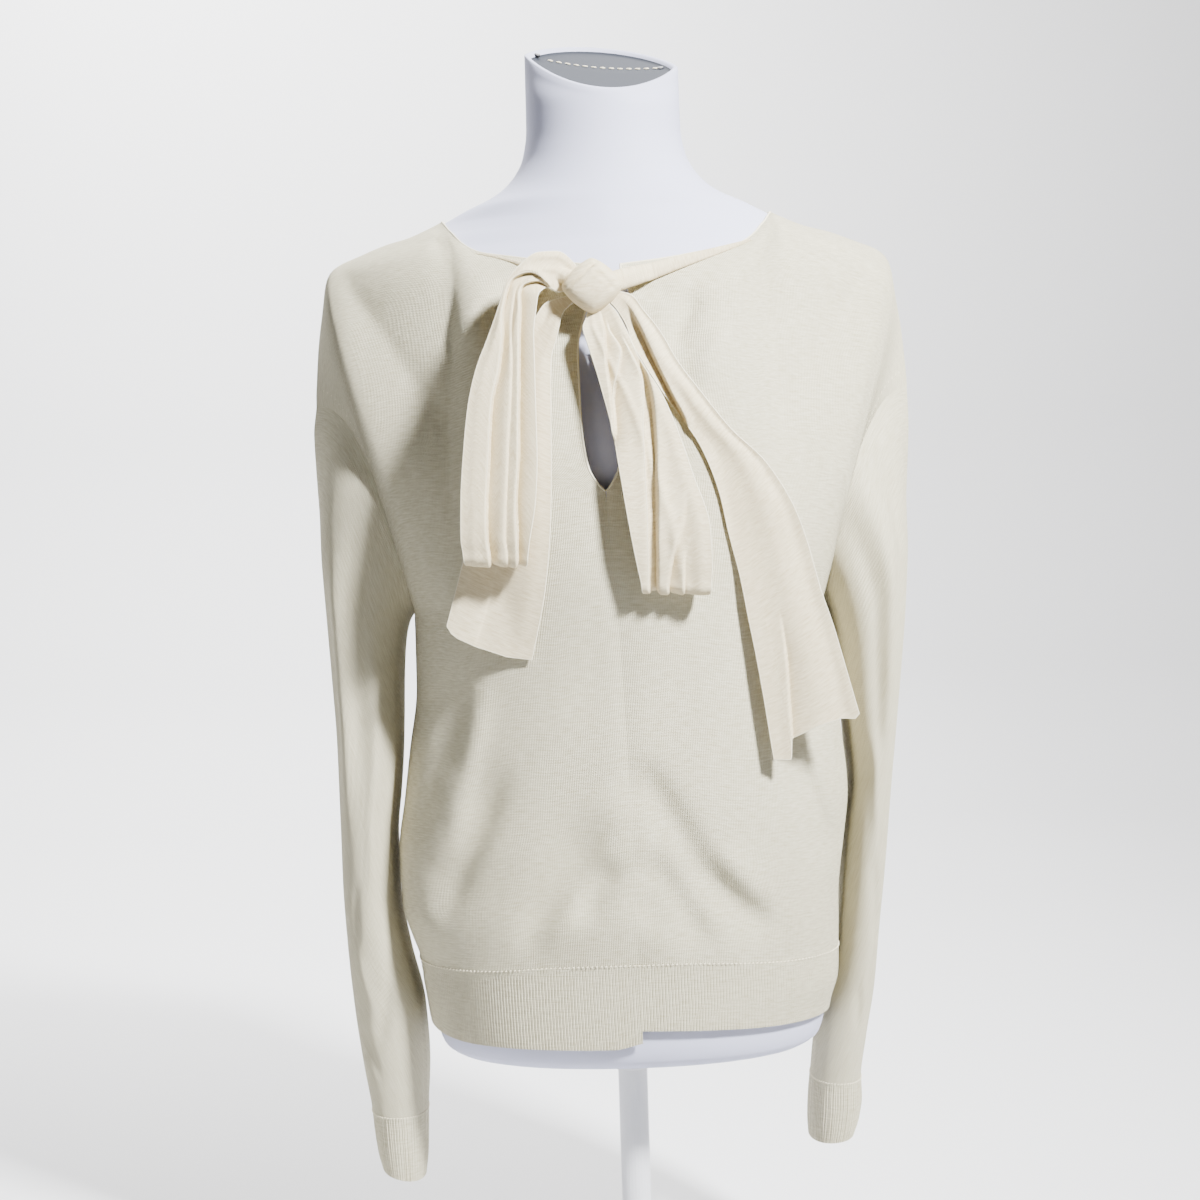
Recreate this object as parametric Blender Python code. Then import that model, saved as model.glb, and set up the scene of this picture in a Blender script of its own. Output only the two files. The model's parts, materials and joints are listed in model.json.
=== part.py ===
"""A bow-neck knitted sweater worn by a limbless dress form on a plain round stand.

The origin is on the floor, under the middle of the stand. +Z is up and the front faces -Y.
Left and right are as seen from the front, so left is -X. Tables and sizes are in millimetres,
and every mesh is scaled to metres as it is made.
"""

import math

import bmesh
import bpy
import numpy as np
from mathutils import Vector
from mathutils.bvhtree import BVHTree

MM = 0.001
SIDES = (("left", -1), ("right", 1))

# Cloth
WALL = 1.6
SEAM_TRIM = 0.15
ARMHOLE_TRIM = 0.25
ARMHOLE_SHIFT = 0.45
SLANT = 1.35
SHARP_ANGLE = 50
FIGURE_CLEARANCE = 2.1
RIBBON_WALL = 1.4
LAYER_LIFT = 3.0

# Stand
BASE_RADIUS = 140
BASE_HEIGHT = 12
BASE_BEVEL = 3
POLE_RADIUS = 11
COLLAR_RADIUS = 24
COLLAR_HEIGHT = 14
TOUCH_GAP = 0.3

# The dress form: horizontal sections, each a superellipse of the given power.
FIGURE_COLUMNS = ("z", "half_width", "front", "back", "power")
FIGURE_ROWS = (
    (186, 118, 74, 76, 2.2),
    (189, 132, 86, 88, 2.2),
    (196, 141, 95, 97, 2.2),
    (210, 145, 99, 101, 2.2),
    (262, 148, 102, 104, 2.2),
    (310, 147, 98, 104, 2.2),
    (360, 138, 92, 97, 2.2),
    (410, 124, 84, 84, 2.2),
    (455, 118, 82, 76, 2.2),
    (510, 124, 94, 78, 2.2),
    (560, 135, 111, 84, 2.2),
    (605, 143, 121, 89, 2.2),
    (635, 152, 119, 92, 2.2),
    (665, 171, 112, 93, 2.2),
    (700, 187, 103, 92, 2.2),
    (735, 198, 95, 88, 2.1),
    (752, 203, 92, 85, 1.95),
    (766, 204, 87, 81, 1.75),
    (773, 198, 84, 79, 1.65),
    (780, 184, 80, 76, 1.6),
    (788, 162, 77, 73, 1.6),
    (793, 146, 75, 71, 1.6),
    (800, 130, 72, 68, 1.6),
    (806, 118, 69, 66, 1.7),
    (813, 104, 66, 64, 1.85),
    (820, 88, 62, 61, 1.9),
    (828, 76, 58.5, 58.5, 1.95),
    (838, 67, 55.5, 56.5, 2.0),
    (850, 61, 53.5, 55.5, 2.0),
    (870, 57.5, 52.5, 55, 2.0),
    (922, 57, 52, 55, 2.0),
)
FIGURE_RING_POINTS = 36
NECK_TILT_FROM = 850
NECK_TOP = 922
NECK_TOP_SLOPE = 0.518
NECK_RIM = 4
NECK_RECESS = 3

# The body cloth where it hangs free, below the armholes. Depths are at the middle.
BODY_COLUMNS = ("z", "left", "right", "front", "back")
BODY_ROWS = (
    (205, 149, 148, 105, 107),
    (219, 151, 150, 106, 107),
    (239, 154, 156, 107, 108),
    (262, 157, 157, 108.5, 108.5),
    (276, 162, 157.5, 111, 110),
    (300, 168.5, 158, 115, 112),
    (340, 169.5, 163, 117, 112),
    (376, 164.5, 167, 118, 109),
    (415, 159, 164, 119, 104.5),
    (460, 152.5, 158, 121, 99),
    (517, 152, 153, 127, 97),
)
BODY_POWER = 2.25
CHEST_Z = 517

# Where the ribbed hem is joined on, and its lower edge, from the middle (0) to the side (1).
HEM_COLUMNS = ("u", "seam", "left", "right", "back")
HEM_ROWS = (
    (0.0, 267, 211, 220, 214),
    (0.06, 267, 207, 219.5, 214),
    (0.5, 261, 207, 215, 214),
    (1.0, 259, 213, 213, 213),
)

# The middle of the front: the seam's sideways drift, and the keyhole's half opening above it.
CENTRE_COLUMNS = ("z", "drift", "opening")
CENTRE_ROWS = (
    (205, 7, 0),
    (300, 5, 0),
    (400, 3, 0),
    (500, -1, 0),
    (560, -5, 0),
    (597, -7, 0),
    (604, -7.5, 5),
    (612, -8, 9.6),
    (625, -7.5, 13),
    (645, -6.5, 16),
    (665, -5, 18),
    (700, -3, 20),
    (730, 0, 16),
    (757, 0, 8),
    (800, 0, 8),
)
CENTRE_SHARE = 0.35

# The neckline from the middle to the shoulder: how far it stands proud of the figure.
# Columns: x, z, proud.
NECKLINE_FRONT = (
    (8, 757, 11),
    (36, 761, 7),
    (66, 767, 4),
    (92, 773, 3),
    (105, 782, 3),
    (115, 794, 3),
    (123, 806, 3),
)
NECKLINE_BACK = (
    (0, 797, 3),
    (40, 798, 3),
    (80, 801, 3),
    (108, 804, 3),
    (123, 806, 3),
)
# The shoulder line, from the neckline over the shoulder's end to the top of the sleeve.
# Columns: x, z.
SHOULDER_ROWS = (
    (123, 806),
    (149, 795),
    (164, 791),
    (186, 782.5),
    (202, 775.5),
    (209, 768),
    (212.6, 750),
    (218, 715),
    (221.5, 672),
)
NECKLINE_SHARE = 0.5

# Bezier handles of the cloth's columns above the chest: outwards, forwards (or backwards), up.
HANDLE_COLUMNS = ("u", "low_x", "low_y", "low_z", "top_x", "top_y", "top_z")
HANDLE_FRONT = (
    (0.0, 0, 8, 80, 0, 20, -58),
    (0.5, 6, 18, 95, -4, 72, -26),
    (0.75, 10, 34, 80, 0, 70, -12),
    (1.0, -4, 77.3, 0, -49, 77.3, 0),
)
HANDLE_BACK = (
    (0.0, 0, 6, 95, 0, 28, -40),
    (0.5, 6, 24, 100, -4, 80, -22),
    (0.75, 10, 48, 78, 0, 94, -12),
    (1.0, -4, 77.3, 0, -49, 77.3, 0),
)
NECK_COLUMNS_OF_CLOTH = 6
SHOULDER_COLUMNS_OF_CLOTH = 9
YOKE_ROWS_OF_CLOTH = 11
YOKE_CROWDING = 1.25
HANGING_ROWS_OF_CLOTH = 8
HEM_ROWS_OF_CLOTH = 3

# Soft troughs (positive depth) and ridges (negative) in the lower front.
# Columns: top_x, top_z, low_x, low_z, width, depth. A fold rises and dies out over its end shares.
FOLD_END = 0.25
FOLDS = (
    (-109, 474, -142, 322, 13, 5),
    (-80, 402, -134, 284, 12, 6),
    (-97, 474, -118, 330, 11, -4),
    (-6, 362, -70, 272, 12, 4),
    (20, 414, 55, 336, 12, 3),
    (32, 350, 96, 276, 13, 5),
)

# A sleeve's sections: the outermost and innermost points, half depth and middle, front to back.
# Columns: outer_x, outer_z, inner_x, inner_z, half_depth, middle_y.
SLEEVE_ROWS = {
    "left": (
        (221.5, 672, 152, 517, 58, 0),
        (224, 650, 157, 509, 59, 0),
        (223, 621, 160, 497, 60, 0),
        (221.4, 588, 161.5, 481, 60, 0),
        (219.6, 550, 162.5, 461, 59, 0),
        (217.8, 510, 163.5, 438, 58, 1),
        (215.6, 466, 165, 411, 56, 2),
        (213.8, 420, 168, 381, 54, 4),
        (213.4, 370, 171.5, 348, 52, 6),
        (213.6, 318, 171.5, 308, 49, 8),
        (211.8, 266, 165, 264, 46, 9),
        (208.6, 220, 155.5, 220, 42, 10),
        (203.5, 177, 153.5, 180, 37, 10),
        (198, 141, 156, 140, 34, 10),
    ),
    "right": (
        (221.5, 672, 153, 517, 58, 0),
        (222, 648, 157, 509, 59, 0),
        (220.5, 619, 160, 497, 60, 1),
        (218.6, 586, 162, 481, 60, 3),
        (217.2, 548, 163.5, 461, 59, 6),
        (214.8, 506, 165.5, 438, 58, 10),
        (211, 464, 168, 411, 57, 14),
        (206.6, 420, 170, 381, 55, 18),
        (202, 371, 167, 350, 53, 23),
        (197.5, 318, 163.5, 308, 50, 28),
        (192, 266, 160, 264, 46, 32),
        (187.5, 220, 153.5, 222, 42, 35),
        (181, 182, 142, 184, 38, 36),
        (175.8, 148, 137.5, 149, 34, 36),
    ),
}
CUFF_ROWS = {
    "left": (
        (196.5, 124, 156.6, 123, 33, 10),
        (194.5, 109, 157.5, 105, 31.5, 10),
        (191.5, 97, 159.5, 89, 30, 10),
    ),
    "right": (
        (176, 133, 135.5, 131, 34, 36),
        (173.5, 117, 134.5, 114, 33, 36),
        (169, 104, 135, 102, 31, 36),
    ),
}
ARMHOLE_FADE_RINGS = 4
SLEEVE_POWER = 2.15

# Ribbons of the bow: stations with both edges, and how far in front of the origin each hangs.
# Columns: left_x, left_z, right_x, right_z, reach.
LOOP_ROWS = {
    "left": (
        (-25, 757, -34, 736, 124),
        (-35, 763, -39, 738, 129),
        (-48, 762, -43, 739, 134),
        (-61, 753, -46, 737, 138),
        (-70, 741, -49, 733, 141),
        (-76, 724, -51, 722, 143),
        (-84, 703, -53, 704, 146),
        (-92, 683, -53, 681, 148),
        (-98, 659, -53, 658, 150),
        (-102, 629, -53, 627, 151),
        (-105, 596, -55, 594, 151),
        (-106, 569, -60, 567, 149),
        (-105, 558, -62, 555, 146),
    ),
    "right": (
        (-17, 717, 3, 722, 128),
        (-19, 710, 10, 708, 133),
        (-16, 698, 15, 695, 137),
        (-12, 684, 21, 682, 140),
        (-7, 664, 32, 664, 143),
        (-1, 637, 43, 636, 146),
        (3, 609, 52, 607, 149),
        (8, 574, 62, 573, 151),
        (12, 550, 63, 548, 149),
        (15, 534, 62, 532, 146),
    ),
}
TAIL_ROWS = {
    "left": (
        (-44, 729, -33, 722, 121),
        (-52, 719, -36, 712, 122),
        (-63, 708, -38, 704, 122),
        (-77, 692, -42, 690, 122),
        (-85, 662, -43, 660, 122),
        (-92, 620, -44, 618, 121),
        (-100, 578, -46, 576, 120),
        (-110, 540, -51, 532, 118),
        (-120, 503, -62, 481, 116),
    ),
    "right": (
        (4, 723, 14, 733, 124),
        (11, 711, 22, 722, 126),
        (14, 700, 33, 707, 128),
        (22, 685, 45, 685, 129),
        (33, 667, 60, 664, 130),
        (48, 645, 80, 638, 129),
        (60, 625, 103, 615, 127),
        (71, 595, 122, 583, 125),
        (77, 566, 131, 557, 122),
        (84, 536, 139, 526, 120),
        (89, 507, 147, 501, 118),
        (94, 479, 155, 471, 116),
        (99, 446, 161, 448, 114),
        (104, 409, 164, 437, 112),
    ),
}
# Pleats across a ribbon: where (0 left edge, 1 right edge), how wide, how deep (+ is inwards).
# Columns: place, width, depth.
PLEATS = {
    "loop_left": ((0.33, 0.05, 3.0), (0.55, 0.12, -1.5), (0.76, 0.06, 4.0)),
    "loop_right": ((0.2, 0.05, 3.5), (0.42, 0.06, 3.5), (0.62, 0.05, 3.0), (0.82, 0.05, 3.0)),
    "tail_left": ((0.35, 0.14, -1.5), (0.7, 0.14, 1.5)),
    "tail_right": ((0.2, 0.06, 3.0), (0.5, 0.15, -2.0), (0.75, 0.12, 1.5)),
}
LOOP_COLUMNS_ACROSS = 11
TAIL_COLUMNS_ACROSS = 9
LOOP_INSET = 3
LOOP_HOLLOW = 10
LOOP_TURN_STATIONS = 3
LOOP_TURN_DROP = 0.9
PLEAT_GROWTH_ROWS = 4

# The knot, a squat pad of wrapped cloth.
KNOT_CENTRE = (-12, -127, 739)
KNOT_HALF = (18, 12.5, 17)
KNOT_POWER = 2.6
KNOT_RINGS = 10
KNOT_RING_POINTS = 20
KNOT_GAP = 0.5
LOOP_KNOT_GAP = {"left": 1.5, "right": 0.5}

# The rolled tie bands that lead along the neckline to the knot.
# Columns: x, z, radius, reach.
BAND_ROWS = {
    "left": ((-28.6, 744, 4.0, 118.5), (-44, 754, 4.0, 110), (-60, 759, 3.0, 0), (-78, 765, 1.6, 0)),
    "right": (
        (5.9, 745, 4.6, 123),
        (26, 749, 4.4, 111),
        (46, 755, 4.0, 0),
        (66, 761, 3.2, 0),
        (84, 767, 2.4, 0),
        (98, 773, 1.6, 0),
    ),
}
BAND_STEPS = 9
BAND_SIDES = 10
BAND_LIFT = 0.7

COLOURS = {
    "knit": ((0.80, 0.76, 0.65), 0.85, 0.0),
    "rib": ((0.79, 0.75, 0.64), 0.88, 0.0),
    "form": ((0.80, 0.81, 0.88), 0.55, 0.0),
    "stand": ((0.86, 0.86, 0.87), 0.35, 0.0),
}


# ---------------------------------------------------------------- curves and tables


def smooth_between(keys, values, where):
    """A curve through (keys, values) that never overshoots them, read at one place or many."""
    step = np.diff(keys)
    slope = np.diff(values) / step
    tangent = np.zeros(len(keys))
    tangent[0] = slope[0]
    tangent[-1] = slope[-1]
    before, after = slope[:-1], slope[1:]
    same_way = before * after > 0
    total = np.where(same_way, before + after, 1.0)
    tangent[1:-1] = np.where(same_way, 2 * before * after / total, 0.0)
    where = np.clip(where, keys[0], keys[-1])
    i = np.clip(np.searchsorted(keys, where, side="right") - 1, 0, len(keys) - 2)
    t = (where - keys[i]) / step[i]
    start = (1 + 2 * t) * (1 - t) ** 2 * values[i] + t * (1 - t) ** 2 * step[i] * tangent[i]
    end = t * t * (3 - 2 * t) * values[i + 1] - t * t * (1 - t) * step[i] * tangent[i + 1]
    return start + end


class Table:
    """Rows with named columns, read smoothly between rows along the first column."""

    def __init__(self, columns, rows):
        self.columns = {name: np.array([row[i] for row in rows], float) for i, name in enumerate(columns)}
        self.key = self.columns[columns[0]]

    def at(self, name, where):
        return smooth_between(self.key, self.columns[name], where)


class Path:
    """A smooth curve through points, read by the share of its length."""

    def __init__(self, points):
        self.points = np.array(points, float)
        lengths = np.linalg.norm(np.diff(self.points, axis=0), axis=1)
        self.share = np.concatenate([[0], np.cumsum(lengths)]) / lengths.sum()

    def at(self, share):
        columns = [smooth_between(self.share, column, share) for column in self.points.T]
        return np.stack(columns, axis=-1)


FIGURE = Table(FIGURE_COLUMNS, FIGURE_ROWS)
BODY = Table(BODY_COLUMNS, BODY_ROWS)
HEM = Table(HEM_COLUMNS, HEM_ROWS)
CENTRE = Table(CENTRE_COLUMNS, CENTRE_ROWS)
HANDLES = {"front": Table(HANDLE_COLUMNS, HANDLE_FRONT), "back": Table(HANDLE_COLUMNS, HANDLE_BACK)}
FACING = {"front": -1, "back": 1}


def superellipse(angle, power):
    """The unit superellipse's point at an angle: (cosine-like, sine-like)."""
    c, s = np.cos(angle), np.sin(angle)
    return np.sign(c) * np.abs(c) ** (2 / power), np.sign(s) * np.abs(s) ** (2 / power)


def smoothstep(t):
    t = np.clip(t, 0, 1)
    return t * t * (3 - 2 * t)


# ---------------------------------------------------------------- the figure


def figure_measure(points):
    """1 on the figure's surface, less inside and more outside, for an array of points."""
    x, y, z = points[..., 0], points[..., 1], points[..., 2]
    depth = np.where(y < 0, FIGURE.at("front", z), FIGURE.at("back", z))
    power = FIGURE.at("power", z)
    return ((np.abs(x) / FIGURE.at("half_width", z)) ** power + (np.abs(y) / depth) ** power) ** (1 / power)


def figure_depth(x, z, face):
    """How far the figure reaches to the front or back at one place."""
    power = FIGURE.at("power", z)
    share = np.clip(1 - (np.abs(x) / FIGURE.at("half_width", z)) ** power, 0, 1)
    return FIGURE.at(face, z) * share ** (1 / power)


def way_off_figure(points, clearance):
    """The move that takes each point straight out from the figure to the clearance, if it needs one."""
    probe = 0.25
    ways = [
        (figure_measure(points + probe * axis) - figure_measure(points - probe * axis)) / (2 * probe)
        for axis in np.eye(3)
    ]
    gradient = np.stack(ways, axis=-1)
    size = np.maximum(np.linalg.norm(gradient, axis=-1, keepdims=True), 1e-6)
    distance = (figure_measure(points)[..., None] - 1) / size
    return np.maximum(clearance - distance, 0) * gradient / size


def rest_on_figure(grid, clearance=FIGURE_CLEARANCE, rounds=8):
    """Lifts a grid off the figure where a corner, or the middle of an edge or a face, is too near."""
    grid = grid.copy()
    edges = ((np.s_[:, :-1], np.s_[:, 1:]), (np.s_[:-1], np.s_[1:]))
    faces = ((np.s_[:-1, :-1], np.s_[1:, :-1], np.s_[:-1, 1:], np.s_[1:, 1:]),)
    neighbours = edges + faces
    for _ in range(rounds):
        grid += way_off_figure(grid, clearance)
        for corners in neighbours:
            middle = sum(grid[corner] for corner in corners) / len(corners)
            lift = way_off_figure(middle, clearance) / len(corners)
            for corner in corners:
                grid[corner] += lift
    return grid


# ---------------------------------------------------------------- the body cloth


def column_shares():
    """Where the cloth's columns run, from the middle (0) to the side (1)."""
    neck = np.linspace(0, NECKLINE_SHARE, NECK_COLUMNS_OF_CLOTH + 1)
    shoulder = np.linspace(NECKLINE_SHARE, 1, SHOULDER_COLUMNS_OF_CLOTH + 1)
    return np.concatenate([neck, shoulder[1:]])


def yoke_shares():
    """Where the cloth's rows above the chest run, closer together near the shoulder line."""
    return 1 - (1 - np.linspace(0, 1, YOKE_ROWS_OF_CLOTH + 1)) ** YOKE_CROWDING


def hanging_points(side_name, side, face, u, z):
    """Points of the cloth below the armholes, at shares u and heights z."""
    across, forward = superellipse(u * math.pi / 2, BODY_POWER)[::-1]
    x = side * BODY.at(side_name, z) * across
    y = FACING[face] * BODY.at(face, z) * forward
    return np.stack([x, y, z], axis=-1)


def top_edge(side, face, u):
    """The cloth's upper edge: the neckline up to its share, and the shoulder line after it."""
    rows = NECKLINE_FRONT if face == "front" else NECKLINE_BACK
    neck_points = []
    for x, z, proud in rows:
        depth = figure_depth(x, z, face)
        neck_points.append((x, FACING[face] * (depth + proud if depth > 0 else 0), z))
    neckline = Path(neck_points)
    shoulder = Path([(x, 0, z) for x, z in SHOULDER_ROWS])
    edge = np.where(
        (u <= NECKLINE_SHARE)[:, None],
        neckline.at(np.clip(u / NECKLINE_SHARE, 0, 1)),
        shoulder.at(np.clip((u - NECKLINE_SHARE) / (1 - NECKLINE_SHARE), 0, 1)),
    )
    return edge * np.array([side, 1, 1])


def yoke_points(side_name, side, face, u, t):
    """The cloth above the chest: one Bezier column for each u, read at each t."""
    low = hanging_points(side_name, side, face, u, np.full(len(u), float(CHEST_Z)))
    top = top_edge(side, face, u)
    handles = HANDLES[face]
    turn = np.array([side, FACING[face], 1])
    low_handle = low + np.stack([handles.at("low_" + axis, u) for axis in "xyz"], axis=-1) * turn
    top_handle = top + np.stack([handles.at("top_" + axis, u) for axis in "xyz"], axis=-1) * turn
    t = t[:, None, None]
    start = (1 - t) ** 3 * low + 3 * t * (1 - t) ** 2 * low_handle
    return start + 3 * t * t * (1 - t) * top_handle + t**3 * top


def open_centre(grid, side, u):
    """Brings the front's middle edge to the centre seam and the keyhole, fading out sideways."""
    z = grid[:, :1, 2]
    target = CENTRE.at("drift", z) + side * CENTRE.at("opening", z)
    fade = np.clip(1 - u / CENTRE_SHARE, 0, 1) ** 2
    grid[..., 0] += (target - grid[:, :1, 0]) * fade
    return grid


def fold_front(grid):
    """Presses the soft folds of the lower front into the cloth."""
    x, z = grid[..., 0], grid[..., 2]
    for top_x, top_z, low_x, low_z, width, depth in FOLDS:
        run = np.array([low_x - top_x, low_z - top_z], float)
        length = np.linalg.norm(run)
        run /= length
        along = (x - top_x) * run[0] + (z - top_z) * run[1]
        across = (x - top_x) * run[1] - (z - top_z) * run[0]
        ends = smoothstep(along / length / FOLD_END) * smoothstep((1 - along / length) / FOLD_END)
        grid[..., 1] += depth * ends * np.exp(-((across / width) ** 2))
    return grid


def share_edge(front, back, edge):
    """Gives a front and a back grid one common edge, halfway between their own."""
    common = (front[edge] + back[edge]) / 2
    front[edge] = common
    back[edge] = common


def panel_grids(side_name, side, face):
    """Half of the front or back, from the hem seam up, and its half of the ribbed hem."""
    u = column_shares()
    seam_z = HEM.at("seam", u)
    low_z = HEM.at(side_name if face == "front" else "back", u)
    rise = np.linspace(0, 1, HANGING_ROWS_OF_CLOTH + 1)[:, None]
    hanging = hanging_points(side_name, side, face, u[None, :], seam_z + (CHEST_Z - seam_z) * rise)
    yoke = yoke_points(side_name, side, face, u, yoke_shares())
    panel = np.concatenate([hanging, yoke[1:]])
    drop = np.linspace(0, 1, HEM_ROWS_OF_CLOTH + 1)[:, None]
    hem = hanging_points(side_name, side, face, u[None, :], low_z + (seam_z - low_z) * drop)
    if face == "front":
        panel = fold_front(open_centre(panel, side, u))
        hem = open_centre(hem, side, u)
    panel = rest_on_figure(panel)
    hem = rest_on_figure(hem)
    hem[-1] = panel[0]
    return panel, hem


def join_halves(left, right):
    """One grid from the left side over the middle to the right side."""
    return np.concatenate([left[:, ::-1], right[:, 1:]], axis=1)


# ---------------------------------------------------------------- walls


def shared_normals(grids, closed=False):
    """Vertex normals of grids that meet, the same for both at every point that they share."""
    totals = {}

    def key(point):
        return tuple(np.round(point, 3))

    for grid in grids:
        around = np.concatenate([grid, grid[:, :1]], axis=1) if closed else grid
        corners = (around[:-1, :-1], around[:-1, 1:], around[1:, 1:], around[1:, :-1])
        facing = np.cross(corners[2] - corners[0], corners[3] - corners[1])
        for corner in corners:
            for point, normal in zip(corner.reshape(-1, 3), facing.reshape(-1, 3)):
                totals[key(point)] = totals.get(key(point), 0) + normal
    normals = []
    for grid in grids:
        flat = np.array([totals[key(point)] for point in grid.reshape(-1, 3)])
        flat /= np.linalg.norm(flat, axis=1, keepdims=True)
        normals.append(flat.reshape(grid.shape))
    return normals


def trim_edge(points, edge, amount, closed=False):
    """Pulls one edge of a grid back into its piece, squarely to the edge: low or high row,
    or start or end column."""
    views = {
        "low": (points[0], points[1]),
        "high": (points[-1], points[-2]),
        "start": (points[:, 0], points[:, 1]),
        "end": (points[:, -1], points[:, -2]),
    }
    rim, inside = views[edge]
    if closed:
        along = np.roll(rim, -1, axis=0) - np.roll(rim, 1, axis=0)
    else:
        along = np.gradient(rim, axis=0)
    along /= np.linalg.norm(along, axis=-1, keepdims=True)
    way = inside - rim
    way -= (way * along).sum(axis=-1, keepdims=True) * along
    rim += way / np.linalg.norm(way, axis=-1, keepdims=True) * amount


def finish_mesh(name, points, faces, finish):
    """Makes one object from points in millimetres, with its faces turned outwards."""
    mesh = bpy.data.meshes.new(name)
    mesh.from_pydata([Vector(p) * MM for p in points], [], faces)
    work = bmesh.new()
    work.from_mesh(mesh)
    bmesh.ops.recalc_face_normals(work, faces=work.faces)
    work.to_mesh(mesh)
    work.free()
    mesh.shade_smooth()
    mesh.set_sharp_from_angle(angle=math.radians(SHARP_ANGLE))
    mesh.materials.append(MATERIALS[finish])
    made = bpy.data.objects.new(name, mesh)
    bpy.context.scene.collection.objects.link(made)
    return made


def splits_first_diagonal(corners, inward):
    """Whether a square is split between its first and third corners: along the shorter diagonal
    of a slanting one, or else along the one that stands further out, so no cloth dips inwards."""
    first = np.linalg.norm(corners[0] - corners[2])
    second = np.linalg.norm(corners[1] - corners[3])
    if max(first, second) > SLANT * min(first, second):
        return first < second
    return (corners[0] + corners[2] - corners[1] - corners[3]) @ inward <= 0


def wall_faces(grid, inward, closed):
    """Faces of an outer and an inner grid and the rims that join them."""
    rows, columns = grid.shape[:2]
    count = rows * columns
    last = columns if closed else columns - 1

    def at(layer, row, column):
        return layer * count + row * columns + column % columns

    faces = []
    for row in range(rows - 1):
        for column in range(last):
            after = (column + 1) % columns
            quad = [(row, column), (row, after), (row + 1, after), (row + 1, column)]
            if not splits_first_diagonal([grid[corner] for corner in quad], inward[row, column]):
                quad = quad[1:] + quad[:1]
            for triangle in (quad[:3], [quad[0], quad[2], quad[3]]):
                faces.append([at(0, *corner) for corner in triangle])
                faces.append([at(1, *corner) for corner in reversed(triangle)])
    for row in (0, rows - 1):
        for column in range(last):
            outer = [at(0, row, column), at(0, row, column + 1)]
            faces.append(outer + [at(1, row, column + 1), at(1, row, column)])
    if not closed:
        for column in (0, columns - 1):
            for row in range(rows - 1):
                outer = [at(0, row, column), at(0, row + 1, column)]
                faces.append(outer + [at(1, row + 1, column), at(1, row, column)])
    return faces


def make_wall(name, grid, inward, finish, thickness=WALL, trims=(), closed=False):
    """A cloth wall: the grid is its outer face, and its inner face lies along inward."""
    outer = grid.copy()
    inner = grid + inward * thickness
    for edge, amount in trims:
        trim_edge(outer, edge, amount, closed)
        trim_edge(inner, edge, amount, closed)
    points = np.concatenate([outer.reshape(-1, 3), inner.reshape(-1, 3)])
    return finish_mesh(name, points, wall_faces(grid, inward, closed), finish)


# ---------------------------------------------------------------- the garment's pieces


def body_pieces():
    """Front halves, back and the ribbed hem. Returns each half's armhole edges for the sleeves."""
    grids = {}
    side_seam = np.s_[: HANGING_ROWS_OF_CLOTH + 1, -1]
    shoulder_line = np.s_[-1, NECK_COLUMNS_OF_CLOTH:]
    for side_name, side in SIDES:
        for face in FACING:
            panel, hem = panel_grids(side_name, side, face)
            grids[face, side_name] = panel
            grids["hem_" + face, side_name] = hem
        for edge in (side_seam, shoulder_line):
            share_edge(grids["front", side_name], grids["back", side_name], edge)
        share_edge(grids["hem_front", side_name], grids["hem_back", side_name], np.s_[:, -1])
    pieces = {
        "front_left": grids["front", "left"],
        "front_right": grids["front", "right"],
        "back": join_halves(grids["back", "left"], grids["back", "right"]),
        "hem_front_left": grids["hem_front", "left"],
        "hem_front_right": grids["hem_front", "right"],
        "hem_back": join_halves(grids["hem_back", "left"], grids["hem_back", "right"]),
    }
    # Every grid is turned the same way round, so that the shared normals all point outwards.
    mirrored = ("front_left", "hem_front_left")
    turned = {name: grid[:, ::-1] if name in mirrored else grid for name, grid in pieces.items()}
    turned["back"] = turned["back"][:, ::-1]
    turned["hem_back"] = turned["hem_back"][:, ::-1]
    normals = dict(zip(turned, shared_normals(list(turned.values()))))
    for name, grid in turned.items():
        hem = name.startswith("hem")
        trims = [("start", SEAM_TRIM), ("end", SEAM_TRIM)]
        trims.append(("high", SEAM_TRIM) if hem else ("low", SEAM_TRIM))
        make_panel(name, grid, -normals[name], trims, "rib" if hem else "knit")
    edges = {}
    for side_name, _ in SIDES:
        edges[side_name] = [grids[face, side_name][-YOKE_ROWS_OF_CLOTH - 1 :, -1] for face in FACING]
    return edges


def make_panel(name, grid, inward, trims, finish):
    """A body panel. Above the chest, its outer columns end at an armhole and get a wider gap,
    and so do the shoulder lines, where front and back meet in the top row."""
    outer = grid.copy()
    inner = grid + inward * WALL
    for points in (outer, inner):
        for edge, amount in trims:
            trim_edge(points, edge, amount)
        if not name.startswith("hem"):
            trim_edge(points, "high", SEAM_TRIM)
            armholes = {"front_left": ("start",), "front_right": ("end",), "back": ("start", "end")}[name]
            for edge in armholes:
                trim_edge(points[-YOKE_ROWS_OF_CLOTH - 1 :], edge, ARMHOLE_TRIM - SEAM_TRIM)
    points = np.concatenate([outer.reshape(-1, 3), inner.reshape(-1, 3)])
    return finish_mesh(name, points, wall_faces(grid, inward, False), finish)


def sleeve_ring(row, side, angles):
    """One section of a sleeve, from the armpit side round the front to the outer side and back."""
    outer_x, outer_z, inner_x, inner_z, half_depth, middle_y = row
    along, forward = superellipse(angles, SLEEVE_POWER)
    x = (outer_x + inner_x) / 2 + (outer_x - inner_x) / 2 * along
    z = (outer_z + inner_z) / 2 + (outer_z - inner_z) / 2 * along
    return np.stack([side * x, middle_y - half_depth * forward, z], axis=-1)


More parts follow.
